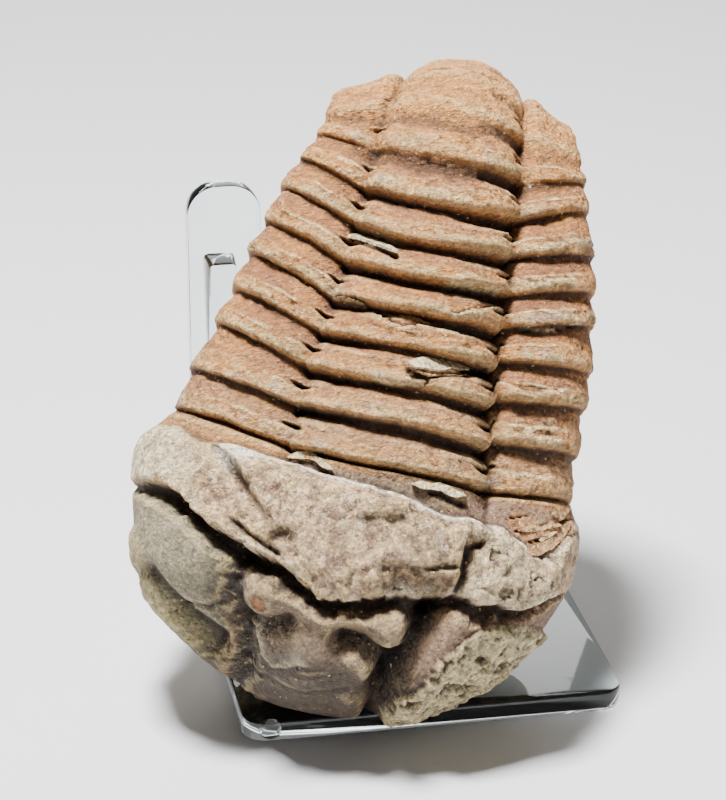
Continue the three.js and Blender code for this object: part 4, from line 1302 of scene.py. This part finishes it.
@dataclass
class Fossil:
    """The trilobite in its rock, one natural solid."""

    name: str = "fossil_skin"
    columns_front: int = 210
    columns_back: int = 40
    rows_snout: int = 9
    rows_head: int = 15
    rows_segment: int = 18
    rows_tail: int = 7
    flake_columns: int = 28
    flake_rows: int = 6
    place: FossilPlace = field(default_factory=FossilPlace)
    finish: RockFinish = field(default_factory=RockFinish)

    def rows(self) -> Array:
        """Fractional stations of the mesh rings, snout to tail, closest at furrows and pits."""
        stops: list[float] = []
        for station in range(LAST_STATION):
            count = self.rows_snout if station < 3 else self.rows_head
            steps = np.arange(count) / count
            if FIRST_FURROW <= station < LAST_FURROW:
                steps = np.arange(self.rows_segment) / self.rows_segment
                steps = np.interp(steps, [0, 0.22, 0.45, 0.8, 1], [0, 0.12, 0.44, 0.66, 1])
            elif station >= LAST_FURROW:
                steps = np.arange(self.rows_tail) / self.rows_tail
            stops += list(station + steps)
        return np.array(stops + [float(LAST_STATION)])

    def angles(self) -> Array:
        """Angles of the mesh segments round a section, about evenly spaced along the front."""
        wrap = math.pi * 0.56
        fine = np.linspace(-wrap, wrap, 2000)
        length = np.cumsum(np.hypot(1.75 * np.cos(fine), 0.8 * np.sin(fine)))
        length = (length - length[0]) / (length[-1] - length[0])
        front = np.interp(np.linspace(0, 1, self.columns_front, endpoint=False), length, fine)
        back = np.linspace(wrap, 2 * math.pi - wrap, self.columns_back, endpoint=False)
        return np.concatenate([front, back])

    def build(self) -> bpy.types.Object:
        """Model the fossil from a sphere whose rings are laid on the body's sections.

        Returns:
            The finished piece, riding and dressed.
        """
        rows, angles = self.rows(), self.angles()
        rings, segments = len(rows) - 1, len(angles)
        bpy.ops.object.select_all(action="DESELECT")
        bpy.ops.mesh.primitive_uv_sphere_add(segments=segments, ring_count=rings, radius=1.0)
        piece = bpy.context.object
        piece.name = self.name
        mesh = piece.data
        ball = vertex_places(mesh)
        ring = rings - np.rint(np.arccos(np.clip(ball[:, 2], -1, 1)) / math.pi * rings).astype(int)
        # the sphere's columns lie at half steps, so they are counted downward
        segment = np.floor(np.arctan2(ball[:, 1], ball[:, 0]) / (2 * math.pi) * segments).astype(int)
        segment = segment % segments
        points, zones = FossilShape().points(*np.meshgrid(rows, angles, indexing="ij"))
        zones["hollow_fine"], zones["hollow_wide"] = hollows(points)
        placed = self.place.world(points[ring, segment]) * MM
        low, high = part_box("fossil")
        placed = np.clip(placed, np.array(low), np.array(high))
        mesh.vertices.foreach_set("co", placed.ravel())
        for zone, values in zones.items():
            store_zone(mesh, zone, values[ring, segment])
        mesh.update()
        close_up(piece)
        bpy.ops.object.shade_smooth()
        rock = self.finish.material()
        mesh.materials.append(rock)
        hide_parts("fossil")
        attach(piece, "root")
        log.info("%s: %d rings, %d segments", piece.name, rings, segments)
        shell = points[:, : self.columns_front].reshape(-1, 3)
        for flake in FLAKES:
            self.flake(flake, shell, rock)
        return piece

    def flake(self, flake: Flake, shell: Array, rock: bpy.types.Material) -> bpy.types.Object:
        """Model one loose plate, lying on the shell.

        Args:
            flake: Its outline and how it lies.
            shell: Points of the shell in the fossil's frame, mm.
            rock: The fossil's material.

        Returns:
            The finished piece.
        """
        bpy.ops.object.select_all(action="DESELECT")
        bpy.ops.mesh.primitive_grid_add(
            x_subdivisions=self.flake_columns, y_subdivisions=self.flake_rows, size=2.0
        )
        piece = bpy.context.object
        piece.name = flake.name
        mesh = piece.data
        along, over = ((vertex_places(mesh) + 1.0) / 2.0)[:, :2].T
        start, end = flake.upper[0][0], flake.upper[-1][0]
        u = start + (end - start) * along
        top, low = follow(flake.upper, u), follow(flake.lower, u)
        middle, half = (top + low) / 2, (top - low) / 2 * (1 - 0.7 * np.abs(2 * along - 1) ** 6)
        edge = np.abs(2 * over - 1) ** 3
        w = middle + half * (2 * over - 1)
        lie = np.stack([u, w, np.zeros(u.shape)], -1)
        w = w + 0.16 * edge * rubble(lie, 1.1, 3, 301)
        u = u + 0.25 * np.abs(2 * along - 1) ** 3 * rubble(lie, 1.0, 2, 307)
        nearest = ((shell[:, None, 0] - u[::3]) ** 2 + (shell[:, None, 2] - w[::3]) ** 2).argmin(axis=0)
        under = -shell[nearest, 1]
        basis = np.stack([u, w, np.ones(u.shape)], -1)
        # the plate rests on the higher spots below it
        high = np.full(under.shape, True)
        for _ in range(2):
            plane = np.linalg.lstsq(basis[::3][high], under[high], rcond=None)[0]
            high = under >= basis[::3] @ plane
        n = basis @ plane + flake.lift + flake.tilt * (1 - over) + 0.3 * facets(lie, 1.3, 311, 26.0)
        placed = self.place.world(np.stack([u, -n, w], -1)) * MM
        mesh.vertices.foreach_set("co", placed.ravel())
        tip, foot = self.place.world(np.array([[-plane[0], -1.0, -plane[1]], [0.0, 0.0, 0.0]])).tolist()
        outward = (Vector(tip) - Vector(foot)).normalized()
        close_up(piece, tuple(-outward * flake.thickness * MM))
        bpy.ops.object.shade_smooth_by_angle(angle=math.radians(32))
        for zone in (flake.zone, "stony"):
            store_zone(mesh, zone, np.ones(len(mesh.vertices)))
        mesh.materials.append(rock)
        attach(piece, "root")
        log.info("%s: %d faces", piece.name, len(mesh.polygons))
        return piece


@dataclass
class Stand:
    """Clear easel stand: base plate, two posts and their ribs."""

    corner_radius: float = 3.5 * MM
    post_top_radius: float = 4.6 * MM
    rib_radius: float = 0.6 * MM
    polish: float = 0.35 * MM
    bead_radius: float = 1.5 * MM
    bead_at: Triple = (3.9 * MM, 0.9 * MM, 1.5 * MM)
    bead_squash: Triple = (1.05, 0.55, 0.95)
    finish: ClearSheetFinish = field(default_factory=ClearSheetFinish)

    def sheet(self, name: str, node: str, long_axis: int, radius: float, top_only: bool) -> bpy.types.Object:
        """A piece of sheet that fills a CAD node's box, with round corners and polished edges.

        Args:
            name: The piece's name.
            node: CAD node it stands for.
            long_axis: Axis through the sheet's thickness, 0 to 2.
            radius: Corner radius of its outline.
            top_only: Whether only the two top corners are round.

        Returns:
            The finished piece at the origin.
        """
        low, high = (Vector(corner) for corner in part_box(node))
        bpy.ops.object.select_all(action="DESELECT")
        bpy.ops.mesh.primitive_cube_add(size=1.0, location=(low + high) / 2)
        piece = bpy.context.object
        piece.name = name
        piece.scale = high - low
        bpy.ops.object.transform_apply(location=True, rotation=True, scale=True)
        mesh = piece.data
        for edge in mesh.edges:
            a, b = (mesh.vertices[i].co for i in edge.vertices)
            run = b - a
            thick = (high - low)[long_axis]
            through = abs(run[long_axis]) > 0.5 * thick and run.length < thick * 1.01
            at_top = min(a.z, b.z) > (low.z + high.z) / 2
            edge.select = through and (at_top or not top_only)
        self.bevel(piece, radius, 10)
        self.polish_edges(piece, low, high, long_axis)
        bpy.ops.object.shade_smooth_by_angle(angle=math.radians(35))
        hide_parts(node)
        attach(piece, "root")
        log.info("%s: %d faces", piece.name, len(mesh.polygons))
        return piece

    def bevel(self, piece: bpy.types.Object, width: float, segments: int) -> None:
        """Round the selected edges of a piece."""
        chosen = [edge.index for edge in piece.data.edges if edge.select]
        activate(piece)
        bpy.ops.object.mode_set(mode="EDIT")
        bpy.ops.mesh.select_mode(type="EDGE")
        bpy.ops.mesh.select_all(action="DESELECT")
        bpy.ops.object.mode_set(mode="OBJECT")
        for index in chosen:
            piece.data.edges[index].select = True
        bpy.ops.object.mode_set(mode="EDIT")
        bpy.ops.mesh.bevel(
            offset=width, offset_type="OFFSET", segments=segments, profile=0.5, affect="EDGES"
        )
        bpy.ops.object.mode_set(mode="OBJECT")

    def polish_edges(self, piece: bpy.types.Object, low: Vector, high: Vector, axis: int) -> None:
        """Round over the outline edges of both faces."""
        mesh = piece.data
        for edge in mesh.edges:
            a, b = (mesh.vertices[i].co for i in edge.vertices)
            edge.select = any(
                abs(a[axis] - end) < TOUCH and abs(b[axis] - end) < TOUCH for end in (low[axis], high[axis])
            )
        self.bevel(piece, self.polish, 2)

    def bead(self) -> bpy.types.Object:
        """The small clear glue bead on the front edge, near the left corner."""
        low, _ = (Vector(corner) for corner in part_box("base_plate"))
        at = Vector((low.x + self.bead_at[0], low.y + self.bead_at[1], self.bead_at[2]))
        bpy.ops.object.select_all(action="DESELECT")
        bpy.ops.mesh.primitive_uv_sphere_add(
            segments=20, ring_count=12, radius=self.bead_radius, location=at
        )
        piece = bpy.context.object
        piece.name = "glue_bead"
        piece.scale = self.bead_squash
        bpy.ops.object.transform_apply(location=True, rotation=True, scale=True)
        bpy.ops.object.shade_smooth()
        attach(piece, "root")
        log.info("%s: %d faces", piece.name, len(piece.data.polygons))
        return piece

    def build(self) -> None:
        """Model and dress every piece of the stand."""
        pieces = [self.sheet("base_sheet", "base_plate", 2, self.corner_radius, False)]
        for side in Side:
            word = side.name.lower()
            pieces.append(self.sheet(f"post_sheet_{word}", f"post_{word}", 1, self.post_top_radius, True))
            pieces.append(self.sheet(f"rib_bar_{word}", f"rib_{word}", 1, self.rib_radius, True))
        pieces.append(self.bead())
        clear = self.finish.material()
        for piece in pieces:
            piece.data.materials.clear()
            piece.data.materials.append(clear)


@dataclass(frozen=True)
class AreaLight:
    """One soft box: place, size and power."""

    name: str
    at: tuple[float, float, float]
    aim: tuple[float, float, float]
    size: float
    power: float

    def build(self) -> None:
        """Add the light, turned to its aim."""
        data = bpy.data.lights.new(self.name, "AREA")
        data.shape = "SQUARE"
        data.size = self.size
        data.energy = self.power
        lamp = bpy.data.objects.new(self.name, data)
        bpy.context.scene.collection.objects.link(lamp)
        lamp.location = self.at
        lamp.rotation_euler = (Vector(self.aim) - Vector(self.at)).to_track_quat("-Z", "Y").to_euler()


@dataclass
class Studio:
    """Pale floor, soft light and the camera at the photograph's viewing angle."""

    azimuth: float = -10.34
    elevation: float = 22.46
    roll: float = 0.10
    target: Triple = (-6.01 * MM, -5.0 * MM, 40.77 * MM)
    distance: float = 423.9 * MM
    lens: float = 130.14

    def camera(self) -> None:
        """Place the camera."""
        data = bpy.data.cameras.new("view")
        data.lens = self.lens
        data.sensor_width = 36.0
        data.sensor_fit = "AUTO"
        data.clip_start = 0.01
        camera = bpy.data.objects.new("view", data)
        bpy.context.scene.collection.objects.link(camera)
        a, e = math.radians(self.azimuth), math.radians(self.elevation)
        forward = Vector((-math.sin(a) * math.cos(e), math.cos(a) * math.cos(e), -math.sin(e)))
        right = Vector((math.cos(a), math.sin(a), 0.0))
        upward = right.cross(forward)
        turn = Matrix((right, upward, -forward)).transposed().to_4x4()
        roll = Matrix.Rotation(math.radians(-self.roll), 4, "Z")
        place = Matrix.Translation(Vector(self.target) - forward * self.distance)
        camera.matrix_world = place @ turn @ roll
        bpy.context.scene.camera = camera

    def floor(self) -> None:
        """Wide pale floor."""
        bpy.ops.object.select_all(action="DESELECT")
        bpy.ops.mesh.primitive_plane_add(size=6.0, location=(0, 0, -0.2 * MM))
        floor = bpy.context.object
        floor.name = "floor"
        material, _, shader = new_material("pale floor")
        shader.inputs["Base Color"].default_value = (0.62, 0.62, 0.63, 1)
        shader.inputs["Roughness"].default_value = 0.8
        floor.data.materials.append(material)

    def build(self) -> None:
        """Camera, floor, sky and soft boxes."""
        self.camera()
        self.floor()
        world = bpy.context.scene.world or bpy.data.worlds.new("studio")
        bpy.context.scene.world = world
        world.use_nodes = True
        back = world.node_tree.nodes["Background"]
        back.inputs["Color"].default_value = (1.0, 0.985, 0.96, 1)
        back.inputs["Strength"].default_value = 0.18
        aim = (0.0, -0.01, 0.05)
        for light in (
            AreaLight("key", (-0.12, -0.05, 0.64), aim, 0.13, 18.0),
            AreaLight("fill", (0.40, -0.50, 0.45), aim, 0.4, 0.5),
            AreaLight("back", (0.1, 0.6, 0.4), aim, 0.4, 2.0),
        ):
            light.build()


def main() -> None:
    """Build the studio, the stand and the fossil."""
    logging.basicConfig(level=logging.INFO, format="%(name)s %(message)s")
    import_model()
    Studio().build()
    Stand().build()
    Fossil().build()
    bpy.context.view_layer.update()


if __name__ == "__main__":
    main()
